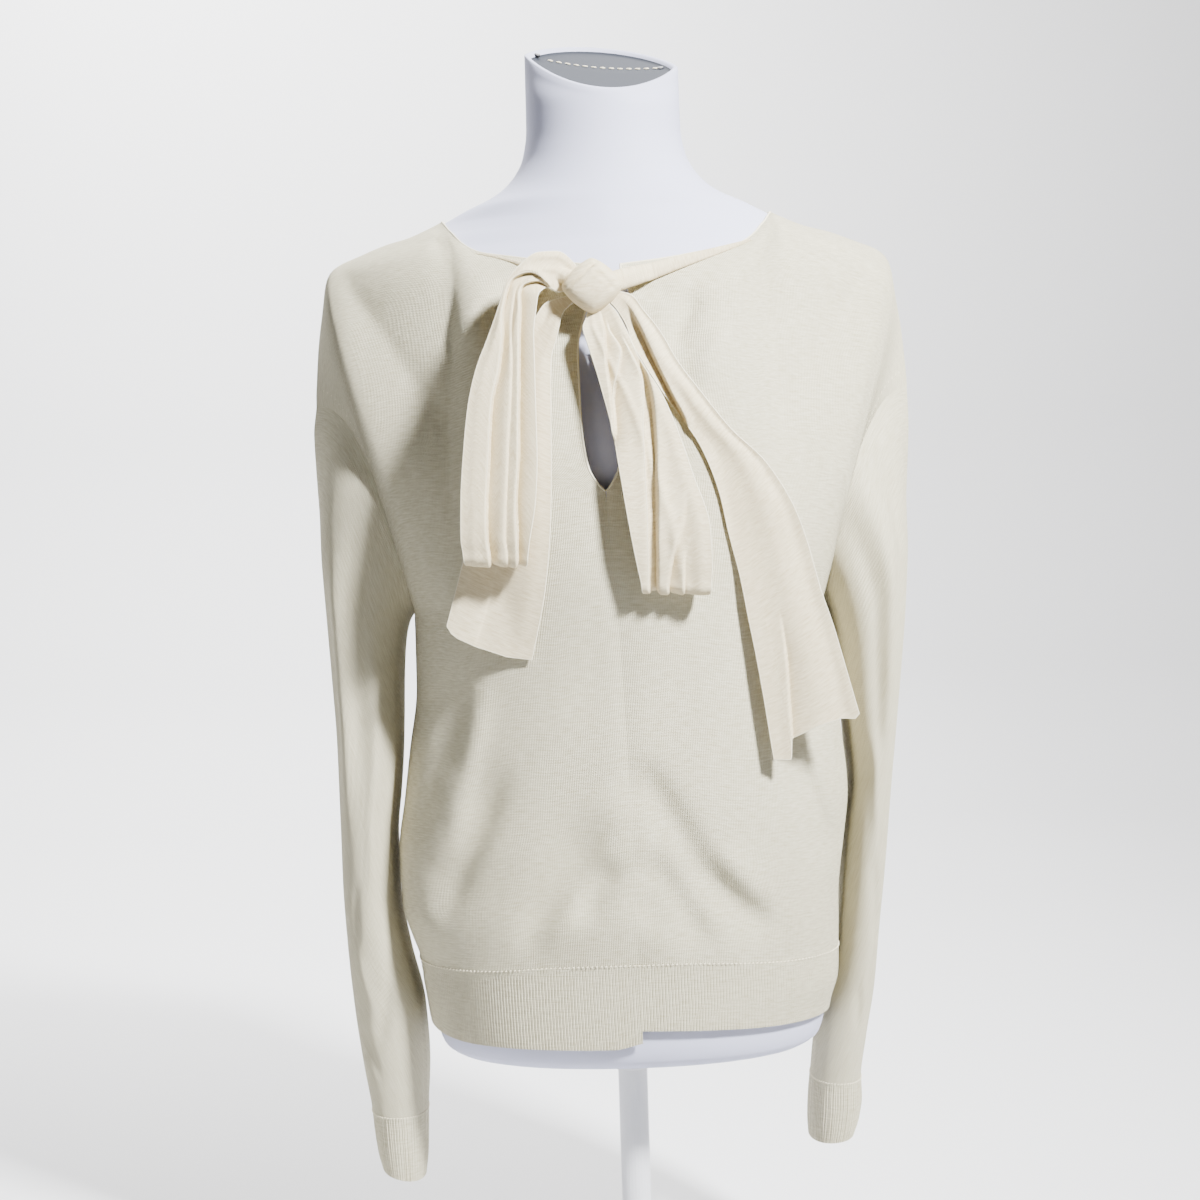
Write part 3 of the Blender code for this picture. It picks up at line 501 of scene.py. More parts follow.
# Soft folds of the sleeves. Turns are shares of the way round, from the outer side towards the
# front. Columns: turn and z of the upper end, turn and z of the lower end, width, depth inwards.
SLEEVE_FOLD_GAIN = 1.5
SLEEVE_SEAM_TURN = 0.43
SLEEVE_FOLDS = {
    "left": (
        (0.17, 600, 0.17, 330, 0.035, -3.0),
        (0.26, 600, 0.25, 360, 0.045, 3.5),
        (0.10, 560, 0.11, 380, 0.04, 2.0),
        (0.33, 470, 0.28, 300, 0.03, -2.0),
        (0.22, 330, 0.14, 250, 0.035, 2.0),
        (0.14, 300, 0.22, 210, 0.03, -1.5),
        (0.30, 250, 0.20, 190, 0.03, 1.6),
        (0.12, 215, 0.2, 165, 0.025, 1.2),
    ),
    "right": (
        (0.13, 640, 0.16, 470, 0.03, 3.0),
        (0.20, 640, 0.21, 400, 0.04, -2.5),
        (0.27, 600, 0.26, 380, 0.035, 3.0),
        (0.30, 430, 0.22, 330, 0.03, -2.0),
        (0.14, 420, 0.2, 320, 0.03, 2.0),
        (0.24, 330, 0.14, 250, 0.035, 2.2),
        (0.12, 280, 0.2, 215, 0.03, 1.6),
        (0.26, 230, 0.18, 185, 0.025, 1.4),
    ),
}

# Knife folds along the ribbons. Each has the share of the width where its edge runs at each
# station of the ribbon's table, how far the cloth beside it lies back, the side that lies back,
# and the station where the fold begins.
KNIFE_FOLDS = {
    "loop_left": (
        ((1.0, 1.0, 0.85, 0.3, 0.08, 0.12, 0.32, 0.385, 0.344, 0.347, 0.34, 0.38, 0.41), 6.5, 1, 1),
        ((1.0, 1.0, 0.95, 0.65, 0.45, 0.58, 0.69, 0.735, 0.75, 0.747, 0.74, 0.82, 0.85), 7.0, 1, 1),
        ((1.0, 1.0, 0.9, 0.5, 0.3, 0.36, 0.5, 0.6, 0.62, 0.6, 0.6, 0.64, 0.68), 1.8, 1, 1),
    ),
    "loop_right": (
        ((0.5, 0.49, 0.37, 0.24, 0.13, 0.0, -0.3, -0.4, -0.4, -0.4), 5.0, 1, -1),
        ((0.62, 0.6, 0.69, 0.49, 0.18, 0.03, -0.3, -0.4, -0.4, -0.4), 3.0, 1, 0),
        ((0.8, 0.82, 0.87, 0.89, 0.705, 0.47, 0.35, 0.233, 0.163, 0.106), 4.0, 1, 1),
        ((1.1, 1.1, 1.05, 1.0, 0.84, 0.65, 0.50, 0.348, 0.284, 0.234), 5.5, -1, 2),
        ((1.2, 1.2, 1.2, 1.1, 1.0, 0.98, 0.88, 0.66, 0.47, 0.385), 4.5, 1, 6),
        ((1.2, 1.2, 1.2, 1.1, 1.1, 1.0, 0.95, 0.80, 0.63, 0.61), 2.5, 1, 7),
    ),
    "tail_left": (((0.6, 0.58, 0.56, 0.54, 0.5, 0.46, 0.42, 0.38, 0.32), 0.6, 1, 4),),
    "tail_right": (
        ((0.6, 0.5, 0.45, 0.35, 0.2, 0.02, -0.3, -0.3, -0.3, -0.3, -0.3, -0.3, -0.3, -0.3), 6.0, -1, 0),
        ((0.5, 0.5, 0.5, 0.5, 0.5, 0.5, 0.5, 0.48, 0.45, 0.42, 0.38, 0.333, 0.27, 0.22), 3.6, 1, 9.5),
    ),
}
FOLD_SHARPNESS = 1.0
FOLD_RISE = 5.5
FOLD_CROWN = 9.0
FOLD_CROWN_SHARE = 0.25
FOLD_GROWTH = 2
# The folds whose edge is the ribbon's own, the cord along it, and the stations it waits.
SELVAGE_FOLDS = {"loop_left": (0, 1), "loop_right": (1, 2)}
SELVAGE_CORD = 0.36
SELVAGE_WAIT = 0.8
SELVAGE_MARGIN = 0.02
# All of a ribbon's folds grow over these stations, counted from under the knot.
RELIEF_FROM = 0.4
RELIEF_OVER = 1.6
# Soft rolls along the ribbons: share of the width at the top and foot, width and depth.
SOFT_ROLLS = {
    "loop_left": ((0.12, 0.2, 0.1, -1.4), (0.5, 0.58, 0.08, -0.8)),
    "loop_right": ((0.2, 0.62, 0.08, -1.2), (0.9, 0.85, 0.1, -1.0)),
    "tail_left": ((0.35, 0.42, 0.16, 1.6), (0.85, 0.8, 0.12, -0.8)),
    "tail_right": ((0.62, 0.55, 0.2, -1.8), (0.9, 0.86, 0.1, 0.8)),
}

# The feet of the tails: share of the width, and how much higher the edge lies there.
TAIL_FOOT = {
    "left": ((0, 6), (0.05, 2), (0.12, 0), (0.35, -1.5), (0.7, -1), (1, 3)),
    "right": ((0, 0), (0.2, -6), (0.215, 8), (0.5, 8), (0.8, 5), (0.95, 0), (1, 2)),
}
TAIL_FOOT_ROWS = 26

# Cords along the edges, and the way that none of them runs.
EDGE_CORD = 0.52
NECK_CORD = 0.75
NECK_CORD_SINK = 0.4
CORD_SIDES = 8
CORD_REFERENCE = (0.13, -1.0, 0.21)

# Stitches. Tilts are in radians, from the line that the stitches follow.
STITCH_PITCH = 3.3
STITCH_LENGTH = 2.1
STITCH_RADIUS = 0.6
STITCH_LIFT = 0.25
STITCH_SIDES = 6
# Columns: share of the length, share of the radius.
STITCH_PROFILE = ((-0.5, 0.35), (-0.32, 0.9), (0.0, 1.0), (0.32, 0.9), (0.5, 0.35))
HEM_STITCHES = {"tilt": 0.5}
CUFF_STITCHES = {"tilt": 0.5, "pitch": 2.5, "radius": 0.55}
TOP_STITCHES = {"pitch": 6.6, "lift": 0.3, "length": 4.2, "radius": 0.7}
# The fashioning marks beside the armholes, and the rows that have none at both ends.
MARK_STITCHES = {"pitch": 7, "lift": 0.0, "tilt": 0.9, "length": 1.8, "radius": 0.4}
MARK_INSET = 13
MARK_FREE_ROWS = (4, 6)

# Colours, as linear red, green and blue.
CREAM = (0.62, 0.58, 0.43)
CREAM_DEEP = (0.34, 0.29, 0.165)
RIBBON_CREAM = (0.75, 0.655, 0.455)
RIBBON_DEEP = (0.43, 0.33, 0.165)
THREAD = (0.76, 0.69, 0.52)
COVER = (0.54, 0.55, 0.69)
COVER_TOP = (0.03, 0.034, 0.045)
# The slots' near-black is painted shade, standing for the dark inside an opening.
SLOT_PAINTED_SHADE = (0.03, 0.03, 0.035)
STAND_PAINT = (0.72, 0.72, 0.74)
FLOOR_GREY = (0.80, 0.80, 0.81)
SKY = (0.95, 0.97, 1.0)
SKY_STRENGTH = 0.035

# How far each pattern brings the knit from its deep to its full colour. The stitch pattern paints shade into
# the gaps between stitches; the streaks, fuzz and cloud are the yarn's own uneven tone.
SHADE_BASE = -0.36
PAINTED_STITCH_GAP_SHADE = 0.26
SHADE_OF_STREAK = 1.45
STREAK_STRETCH = (0.5, 3.2, 1.0)
SHADE_OF_FUZZ = 0.24
SHADE_OF_CLOUD = 0.14
# The stitch: how far its legs slant, and how much its loops rise and fall.
LEG_SLANT = 1.1
LOOP_RELIEF = 0.16

# The lights. Columns: name, place, target, size, power, colour, spread in degrees.
LIGHTS = (
    ("key", (1.2, -1.45, 1.85), (0, 0, 0.58), (0.28, 0.28), 36, (0.97, 0.985, 1.0), 62),
    ("fill", (-1.9, -1.5, 0.8), (0, 0, 0.5), (0.9, 0.9), 7, (0.95, 0.98, 1.0), 180),
    ("back", (-0.6, 1.3, 2.2), (0, 2.2, 0.5), (2.6, 1.6), 215, (1, 1, 1), 180),
)

# The floor rises to a wall behind. Columns: y, z.
FLOOR_PROFILE = ((-2.6, 0.0), (1.6, 0.0), (2.1, 0.06), (2.5, 0.3), (2.7, 0.8), (2.75, 3.2))
FLOOR_SIDE = 4.5
FLOOR_DROP = 0.0005


# ---------------------------------------------------------------- curves and tables


def smooth_between(keys, values, where):
    """A curve through (keys, values) that never overshoots them, read at one place or many."""
    step = np.diff(keys)
    slope = np.diff(values) / step
    tangent = np.zeros(len(keys))
    tangent[0] = slope[0]
    tangent[-1] = slope[-1]
    before, after = slope[:-1], slope[1:]
    same_way = before * after > 0
    total = np.where(same_way, before + after, 1.0)
    tangent[1:-1] = np.where(same_way, 2 * before * after / total, 0.0)
    where = np.clip(where, keys[0], keys[-1])
    i = np.clip(np.searchsorted(keys, where, side="right") - 1, 0, len(keys) - 2)
    t = (where - keys[i]) / step[i]
    start = (1 + 2 * t) * (1 - t) ** 2 * values[i] + t * (1 - t) ** 2 * step[i] * tangent[i]
    end = t * t * (3 - 2 * t) * values[i + 1] - t * t * (1 - t) * step[i] * tangent[i + 1]
    return start + end


class Table:
    """Rows with named columns, read smoothly between rows along the first column."""

    def __init__(self, columns, rows):
        self.columns = {name: np.array([row[i] for row in rows], float) for i, name in enumerate(columns)}
        self.key = self.columns[columns[0]]

    def at(self, name, where):
        return smooth_between(self.key, self.columns[name], where)


class Path:
    """A smooth curve through points, read by the share of its length."""

    def __init__(self, points):
        self.points = np.array(points, float)
        lengths = np.linalg.norm(np.diff(self.points, axis=0), axis=1)
        self.share = np.concatenate([[0], np.cumsum(lengths)]) / lengths.sum()

    def at(self, share):
        columns = [smooth_between(self.share, self.points[:, k], share) for k in range(self.points.shape[1])]
        return np.stack(columns, axis=-1)


FIGURE = Table(FIGURE_COLUMNS, FIGURE_ROWS)
BODY = Table(BODY_COLUMNS, BODY_ROWS)
HEM = Table(HEM_COLUMNS, HEM_ROWS)
CENTRE = Table(CENTRE_COLUMNS, CENTRE_ROWS)
HANDLES = {"front": Table(HANDLE_COLUMNS, HANDLE_FRONT), "back": Table(HANDLE_COLUMNS, HANDLE_BACK)}
FACING = {"front": -1, "back": 1}


def superellipse(angle, power):
    """The unit superellipse's point at an angle: (cosine-like, sine-like)."""
    c, s = np.cos(angle), np.sin(angle)
    return np.sign(c) * np.abs(c) ** (2 / power), np.sign(s) * np.abs(s) ** (2 / power)


def smoothstep(t):
    """0 up to t = 0 and 1 from t = 1, with an even rise between."""
    t = np.clip(t, 0, 1)
    return t * t * (3 - 2 * t)


def even_turns(count):
    """Angles evenly round a full turn."""
    return np.arange(count) * 2 * math.pi / count


def unit(vectors):
    """Vectors of length 1 that point the same way."""
    return vectors / np.maximum(np.linalg.norm(vectors, axis=-1, keepdims=True), TINY)


# ---------------------------------------------------------------- the figure


def figure_measure(points):
    """1 on the figure's surface, less inside and more outside, for an array of points."""
    x, y, z = points[..., 0], points[..., 1], points[..., 2]
    depth = np.where(y < 0, FIGURE.at("front", z), FIGURE.at("back", z))
    power = FIGURE.at("power", z)
    return ((np.abs(x) / FIGURE.at("half_width", z)) ** power + (np.abs(y) / depth) ** power) ** (1 / power)


def figure_depth(x, z, face):
    """How far the figure reaches to the front or back at one place."""
    power = FIGURE.at("power", z)
    share = np.clip(1 - (np.abs(x) / FIGURE.at("half_width", z)) ** power, 0, 1)
    return FIGURE.at(face, z) * share ** (1 / power)


def way_off_figure(points, clearance):
    """The move that takes each point straight out from the figure to the clearance, if it needs one."""
    probe = 0.25
    ways = [
        (figure_measure(points + probe * axis) - figure_measure(points - probe * axis)) / (2 * probe)
        for axis in np.eye(3)
    ]
    gradient = np.stack(ways, axis=-1)
    size = np.maximum(np.linalg.norm(gradient, axis=-1, keepdims=True), 1e-6)
    distance = (figure_measure(points)[..., None] - 1) / size
    return np.maximum(clearance - distance, 0) * gradient / size


def rest_on_figure(grid, clearance=FIGURE_CLEARANCE, rounds=8):
    """Lifts a grid off the figure where a corner, or the middle of an edge or a face, is too near."""
    grid = grid.copy()
    edges = ((np.s_[:, :-1], np.s_[:, 1:]), (np.s_[:-1], np.s_[1:]))
    faces = ((np.s_[:-1, :-1], np.s_[1:, :-1], np.s_[:-1, 1:], np.s_[1:, 1:]),)
    neighbours = edges + faces
    for _ in range(rounds):
        grid += way_off_figure(grid, clearance)
        for corners in neighbours:
            middle = sum(grid[corner] for corner in corners) / len(corners)
            lift = way_off_figure(middle, clearance) / len(corners)
            for corner in corners:
                grid[corner] += lift
    return grid


# ---------------------------------------------------------------- the body cloth


def column_shares():
    """Where the cloth's columns run, from the middle (0) to the side (1)."""
    neck = np.linspace(0, NECKLINE_SHARE, NECK_COLUMNS_OF_CLOTH + 1)
    shoulder = np.linspace(NECKLINE_SHARE, 1, SHOULDER_COLUMNS_OF_CLOTH + 1)
    return np.concatenate([neck, shoulder[1:]])


def yoke_shares():
    """Where the cloth's rows above the chest run, closer together near the shoulder line."""
    return 1 - (1 - np.linspace(0, 1, YOKE_ROWS_OF_CLOTH + 1)) ** YOKE_CROWDING


def hanging_points(side_name, side, face, u, z):
    """Points of the cloth below the armholes, at shares u and heights z."""
    across, forward = superellipse(u * math.pi / 2, BODY_POWER)[::-1]
    x = side * BODY.at(side_name, z) * across
    y = FACING[face] * BODY.at(face, z) * forward
    return np.stack([x, y, z], axis=-1)


def top_edge(side, face, u):
    """The cloth's upper edge: the neckline up to its share, and the shoulder line after it."""
    rows = NECKLINE_FRONT if face == "front" else NECKLINE_BACK
    neck_points = []
    for x, z, proud in rows:
        depth = figure_depth(x, z, face)
        neck_points.append((x, FACING[face] * (depth + proud if depth > 0 else 0), z))
    neckline = Path(neck_points)
    shoulder = Path([(x, 0, z) for x, z in SHOULDER_ROWS])
    edge = np.where(
        (u <= NECKLINE_SHARE)[:, None],
        neckline.at(np.clip(u / NECKLINE_SHARE, 0, 1)),
        shoulder.at(np.clip((u - NECKLINE_SHARE) / (1 - NECKLINE_SHARE), 0, 1)),
    )
    return edge * np.array([side, 1, 1])


def yoke_points(side_name, side, face, u, t):
    """The cloth above the chest: one Bezier column for each u, read at each t."""
    low = hanging_points(side_name, side, face, u, np.full(len(u), float(CHEST_Z)))
    top = top_edge(side, face, u)
    handles = HANDLES[face]
    turn = np.array([side, FACING[face], 1])
    low_handle = low + np.stack([handles.at("low_" + axis, u) for axis in "xyz"], axis=-1) * turn
    top_handle = top + np.stack([handles.at("top_" + axis, u) for axis in "xyz"], axis=-1) * turn
    t = t[:, None, None]
    start = (1 - t) ** 3 * low + 3 * t * (1 - t) ** 2 * low_handle
    return start + 3 * t * t * (1 - t) * top_handle + t**3 * top


def open_centre(grid, side, u):
    """Brings the front's middle edge to the centre seam and the keyhole, fading out sideways."""
    z = grid[:, :1, 2]
    target = CENTRE.at("drift", z) + side * CENTRE.at("opening", z)
    fade = np.clip(1 - u / CENTRE_SHARE, 0, 1) ** 2
    grid[..., 0] += (target - grid[:, :1, 0]) * fade
    return grid


def press_folds(grid, folds, sides=(1, 1)):
    """Presses soft folds into the front's cloth. sides are the widths of a fold's two sides."""
    x, z = grid[..., 0], grid[..., 2]
    for top_x, top_z, low_x, low_z, width, depth in folds:
        run = np.array([low_x - top_x, low_z - top_z], float)
        length = np.linalg.norm(run)
        run /= length
        along = (x - top_x) * run[0] + (z - top_z) * run[1]
        across = (x - top_x) * run[1] - (z - top_z) * run[0]
        ends = smoothstep(along / length * FOLD_ENDS) * smoothstep((1 - along / length) * FOLD_ENDS)
        spread = width * np.where(across < 0, *sides)
        grid[..., 1] += FOLD_GAIN * depth * ends * np.exp(-((across / spread) ** 2))
    return grid


def wave_cloth(grid, face, u):
    """The slow waves of cloth that hangs: none at the side seam or along the upper edge.

    Their lengths have no common measure, so that no wave comes twice.
    """
    x, z = grid[..., 0], grid[..., 2]
    wave = np.sin(x / 17 + z / 53) * np.sin(z / 31 - x / 47 + 1) + 0.6 * np.sin(x / 9 - z / 37)
    rows = np.linspace(0, 1, len(grid))[:, None]
    fade = (1 - u[None, :] ** 4) * smoothstep((1 - rows) * 4) * smoothstep(u * 8 + 0.3)
    grid[..., 1] += FACING[face] * WAVE_DEPTH * wave * fade
    return grid


def share_edge(front, back, edge):
    """Gives a front and a back grid one common edge, halfway between their own."""
    common = (front[edge] + back[edge]) / 2
    front[edge] = common
    back[edge] = common


def join_halves(left, right):
    """One grid from the left side over the middle to the right side."""
    return np.concatenate([left[:, ::-1], right[:, 1:]], axis=1)


def figure_ring(z, inset=0.0, drop=0.0):
    """One section of the dress form. Sections of the neck lean with its sloping, pinched top."""
    pinch = smoothstep((z - NECK_TOP) / PINCH_REACH + 1)
    c, s = superellipse(even_turns(FIGURE_RING_POINTS), FIGURE.at("power", z))
    s = s * np.abs(s) ** (PINCH_SHARPNESS * pinch)
    depth = np.where(s < 0, FIGURE.at("front", z), FIGURE.at("back", z)) - inset
    x = (FIGURE.at("half_width", z) - inset) * c
    y = depth * s
    lean = np.clip((z - NECK_TILT_FROM) / (NECK_TOP - NECK_TILT_FROM), 0, 1)
    sag = pinch * PINCH_SAG * (1 - np.abs(x / FIGURE.at("half_width", z)) ** 2)
    return np.stack([x, y, z + lean * (NECK_TOP_SLOPE * y + NECK_SIDE_SLOPE * x) - sag - drop], axis=-1)


# ---------------------------------------------------------------- shells


def lengths_along(points, axis, start=0):
    """Distances along one axis of a grid, counted from its row or column start."""
    steps = np.linalg.norm(np.diff(points, axis=axis), axis=-1)
    total = np.cumsum(steps, axis=axis)
    zero = np.zeros_like(np.take(total, [0], axis=axis))
    total = np.concatenate([zero, total], axis=axis)
    return total - np.take(total, [start], axis=axis)


def grid_normals(grid, closed=False):
    """Unit normals of a grid. Closed grids wrap round from the last column to the first."""
    down = np.gradient(grid, axis=0)
    if closed:
        across = np.roll(grid, -1, axis=1) - np.roll(grid, 1, axis=1)
    else:
        across = np.gradient(grid, axis=1)
    return unit(np.cross(across, down))


def outward_normals(grid, closed=False):
    """Normals turned away from the middle of a tube's rings, or from the form's own middle line."""
    normals = grid_normals(grid, closed)
    if closed:
        away = grid - grid.mean(axis=1, keepdims=True)
    else:
        away = grid * (1, 1, 0)
    if (normals * away).sum() < 0:
        normals = -normals
    return normals


def new_mesh(name, points, faces, uv=None, corners=None):
    """A mesh from points in millimetres. corners gives the place in the map of each face's corners."""
    mesh = bpy.data.meshes.new(name)
    mesh.from_pydata((np.array(points) * MM).tolist(), [], faces)
    if uv is not None:
        layer = mesh.uv_layers.new(name="cloth")
        layer.data.foreach_set("uv", (uv.reshape(-1, 2)[corners] * UV_SCALE).ravel())
    return mesh


def shell_mesh(name, outer, inner, uv, closed=False):
    """A thin closed shell between two grids, with the cloth's own distances as its UV map."""
    rows, columns = outer.shape[:2]
    count = rows * columns
    last = columns if closed else columns - 1
    index = np.arange(count).reshape(rows, columns)
    right = np.roll(index, -1, axis=1)[:, :last]
    left = index[:, :last]
    quads = np.stack([left[:-1], right[:-1], right[1:], left[1:]], axis=-1).reshape(-1, 4)
    where_uv = np.arange(rows * uv.shape[1]).reshape(rows, uv.shape[1])
    uv_left = where_uv[:, :last]
    uv_right = where_uv[:, 1 : last + 1]
    quad_uv = np.stack([uv_left[:-1], uv_right[:-1], uv_right[1:], uv_left[1:]], axis=-1)
    quad_uv = quad_uv.reshape(-1, 4)
    faces = [quads, quads[:, ::-1] + count]
    maps = [quad_uv, quad_uv[:, ::-1]]

    def add_rim(a, b, uv_a, uv_b, flip):
        rim = np.stack([a, b, b + count, a + count], axis=-1)
        rim_uv = np.stack([uv_a, uv_b, uv_b, uv_a], axis=-1)
        faces.append(rim[:, ::-1] if flip else rim)
        maps.append(rim_uv[:, ::-1] if flip else rim_uv)

    for row, flip in ((0, True), (rows - 1, False)):
        add_rim(left[row], right[row], uv_left[row], uv_right[row], flip)
    if not closed:
        for column, flip in ((0, False), (columns - 1, True)):
            low, high = np.s_[:-1, column], np.s_[1:, column]
            add_rim(index[low], index[high], where_uv[low], where_uv[high], flip)
    points = np.concatenate([outer.reshape(-1, 3), inner.reshape(-1, 3)])
    return new_mesh(name, points, np.concatenate(faces).tolist(), uv, np.concatenate(maps).reshape(-1))


def solid_mesh(name, rings, uv):
    """A closed solid through rings, with a fan over each end."""
    count, around = rings.shape[:2]
    index = np.arange(count * around).reshape(count, around)
    right = np.roll(index, -1, axis=1)
    quads = np.stack([index[:-1], right[:-1], right[1:], index[1:]], axis=-1).reshape(-1, 4)
    where_uv = np.arange(count * (around + 1)).reshape(count, around + 1)
    low, high = where_uv[:-1], where_uv[1:]
    maps = np.stack([low[:, :-1], low[:, 1:], high[:, 1:], high[:, :-1]], axis=-1)
    faces = quads.tolist()
    maps = maps.reshape(-1, 4).tolist()
    points = rings.reshape(-1, 3).tolist()
    for row, flip in ((0, True), (count - 1, False)):
        points.append(rings[row].mean(axis=0).tolist())
        tip = len(points) - 1
        for k in range(around):
            fan = [index[row, k], right[row, k], tip]
            fan_uv = [where_uv[row, k], where_uv[row, k + 1], where_uv[row, k]]
            faces.append(fan[::-1] if flip else fan)
            maps.append(fan_uv[::-1] if flip else fan_uv)
    mesh = new_mesh(name, points, faces, uv, np.array([corner for face in maps for corner in face]))
    shape = bmesh.new()
    shape.from_mesh(mesh)
    bmesh.ops.recalc_face_normals(shape, faces=shape.faces)
    shape.to_mesh(mesh)
    shape.free()
    return mesh


def add_piece(name, mesh, material, node=None):
    """Links a mesh as a piece that rides on the part, with the given material."""
    mesh.shade_smooth()
    mesh.set_sharp_from_angle(angle=math.radians(SHARP_ANGLE))
    mesh.materials.append(material)
    made = bpy.data.objects.new(name, mesh)
    bpy.context.scene.collection.objects.link(made)
    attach(made, "root")
    if node:
        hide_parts(node)
    return made


def make_shell(node, grid, normals, uv, material, thickness=SHELL, closed=False):
    """The cloth in a node's place: its outer face is the grid, and its inner face lies behind it."""
    name = "cloth_" + node.removeprefix("bow_")
    mesh = shell_mesh(name, grid, grid - normals * thickness, uv, closed)
    face_outwards(mesh, grid, normals)
    return add_piece(name, mesh, material, node)


def face_outwards(mesh, grid, normals):
    """Turns the faces round if the middle one looks against the grid's normals."""
    rows, columns = grid.shape[:2]
    middle = (rows // 2) * (columns - 1) + (columns - 1) // 2
    facing = np.array(mesh.polygons[middle].normal)
    corner = mesh.polygons[middle].vertices[0]
    if facing @ normals.reshape(-1, 3)[corner] < 0:
        mesh.flip_normals()


def cloth_map(grid, start_column=0, closed=False):
    """The UV map of a grid: distance round the piece, and distance up it."""
    around = np.concatenate([grid, grid[:, :1]], axis=1) if closed else grid
    across = lengths_along(around, 1, start_column)
    if closed:
        mean = across[:, -1].mean()
        across = across / across[:, -1:] * mean
    up = lengths_along(around, 0)
    return np.stack([across, up], axis=-1)


def ring_faces(rings, sides, base=0):
    """The faces of a tube through rings of points, with a cap on each end."""
    last = base + (rings - 1) * sides
    faces = []
    for low in range(base, last, sides):
        for k in range(sides):
            m = (k + 1) % sides
            faces.append((low + k, low + m, low + sides + m, low + sides + k))
    faces.append(tuple(range(base, base + sides))[::-1])
    faces.append(tuple(range(last, last + sides)))
    return faces


def add_cord(name, path, radius):
    """A round cord of thread through points."""
    path = np.array(path, float)
    ahead = unit(np.gradient(path, axis=0))
    up = unit(np.cross(ahead, CORD_REFERENCE))
    out = np.cross(up, ahead)
    turns = even_turns(CORD_SIDES)[None, :, None]
    rings = path[:, None] + radius * (np.cos(turns) * up[:, None] + np.sin(turns) * out[:, None])
    mesh = new_mesh(name, rings.reshape(-1, 3), ring_faces(len(path), CORD_SIDES))
    return add_piece(name, mesh, CORD)


def stitch_mesh(name, places, ways, ups, length, radius):
    """Many small thread stitches, each a short capsule lying along its way."""
    turns = even_turns(STITCH_SIDES)
    points, faces = [], []
    for place, way, up in zip(places, ways, ups):
        side = np.cross(way, up)
        faces += ring_faces(len(STITCH_PROFILE), STITCH_SIDES, len(points))
        for along, wide in STITCH_PROFILE:
            centre = place + way * along * length
            for turn in turns:
                points.append(centre + radius * wide * (math.cos(turn) * side + math.sin(turn) * up))
    return new_mesh(name, points, faces)


def along_curve(points, normals, pitch):
    """Evenly spaced places on a line of points, with the way it runs and the cloth's normal."""
    points, normals = np.array(points), np.array(normals)
    distance = np.concatenate([[0], np.cumsum(np.linalg.norm(np.diff(points, axis=0), axis=1))])
    stops = np.arange(0, distance[-1], pitch)
    places, ups = (
        np.stack([np.interp(stops, distance, values[:, k]) for k in range(3)], axis=-1)
        for values in (points, normals)
    )
    ups = unit(ups)
    ahead = unit(np.gradient(places, axis=0))
    ups -= (ups * ahead).sum(axis=1, keepdims=True) * ahead
    return places, ahead, unit(ups)


# ---------------------------------------------------------------- materials


class Nodes:
    """A new material, and a short way to add and link its shader nodes."""

    def __init__(self, name):
        self.material = bpy.data.materials.new(name)
        self.material.use_nodes = True
        self.tree = self.material.node_tree
        self.shader = self.tree.nodes["Principled BSDF"]

    def add(self, kind, **settings):
        node = self.tree.nodes.new(kind)
        for key, value in settings.items():
            setattr(node, key, value)
        return node

    def feed(self, socket, value):
        if isinstance(value, bpy.types.NodeSocket):
            self.tree.links.new(value, socket)
        else:
            socket.default_value = value

    def look(self, **inputs):
        """Feeds the surface's own inputs, whose names have spaces for the underscores."""
        for name, value in inputs.items():
            self.feed(self.shader.inputs[name.replace("_", " ")], value)

    def place(self):
        return self.add("ShaderNodeTexCoord").outputs["Object"]

    def math(self, operation, *values, clamp=False):
        node = self.add("ShaderNodeMath", operation=operation, use_clamp=clamp)
        for socket, value in zip(node.inputs, values):
            self.feed(socket, value)
        return node.outputs[0]

    def mix(self, share, first, second):
        node = self.add("ShaderNodeMix", data_type="RGBA")
        self.feed(node.inputs[0], share)
        for socket, value in ((node.inputs[6], first), (node.inputs[7], second)):
            self.feed(socket, (*value, 1) if isinstance(value, tuple) else value)
        return node.outputs[2]

    def noise(self, vector, scale, detail, roughness):
        node = self.add("ShaderNodeTexNoise")
        inputs = (("Vector", vector), ("Scale", scale), ("Detail", detail), ("Roughness", roughness))
        for name, value in inputs:
            self.feed(node.inputs[name], value)
        return node.outputs["Fac"]

    def bump(self, height, distance, strength, normal=None):
        node = self.add("ShaderNodeBump")
        node.inputs["Distance"].default_value = distance * MM
        node.inputs["Strength"].default_value = strength
        self.feed(node.inputs["Height"], height)
        if normal is not None:
            self.feed(node.inputs["Normal"], normal)
        return node.outputs[0]


def stitch_height(nodes, uv, wale, course):
    """Rows of knitted V stitches: two slanting legs to a wale, one pair to a course."""
    split = nodes.add("ShaderNodeSeparateXYZ")
    nodes.feed(split.inputs[0], uv)
    across = nodes.math("DIVIDE", split.outputs[0], wale * UV_SCALE)
    up = nodes.math("DIVIDE", split.outputs[1], course * UV_SCALE)
    place = nodes.math("ABSOLUTE", nodes.math("SUBTRACT", nodes.math("FRACT", across), 0.5))
    leg = nodes.math("SINE", nodes.math("MULTIPLY", place, 2 * math.pi))
    slant = nodes.math("ADD", up, nodes.math("MULTIPLY", place, LEG_SLANT))
    loop = nodes.math("COSINE", nodes.math("MULTIPLY", slant, 2 * math.pi))
    soft = nodes.math("MULTIPLY_ADD", loop, LOOP_RELIEF, 1 - LOOP_RELIEF)
    return nodes.math("MULTIPLY", leg, soft)


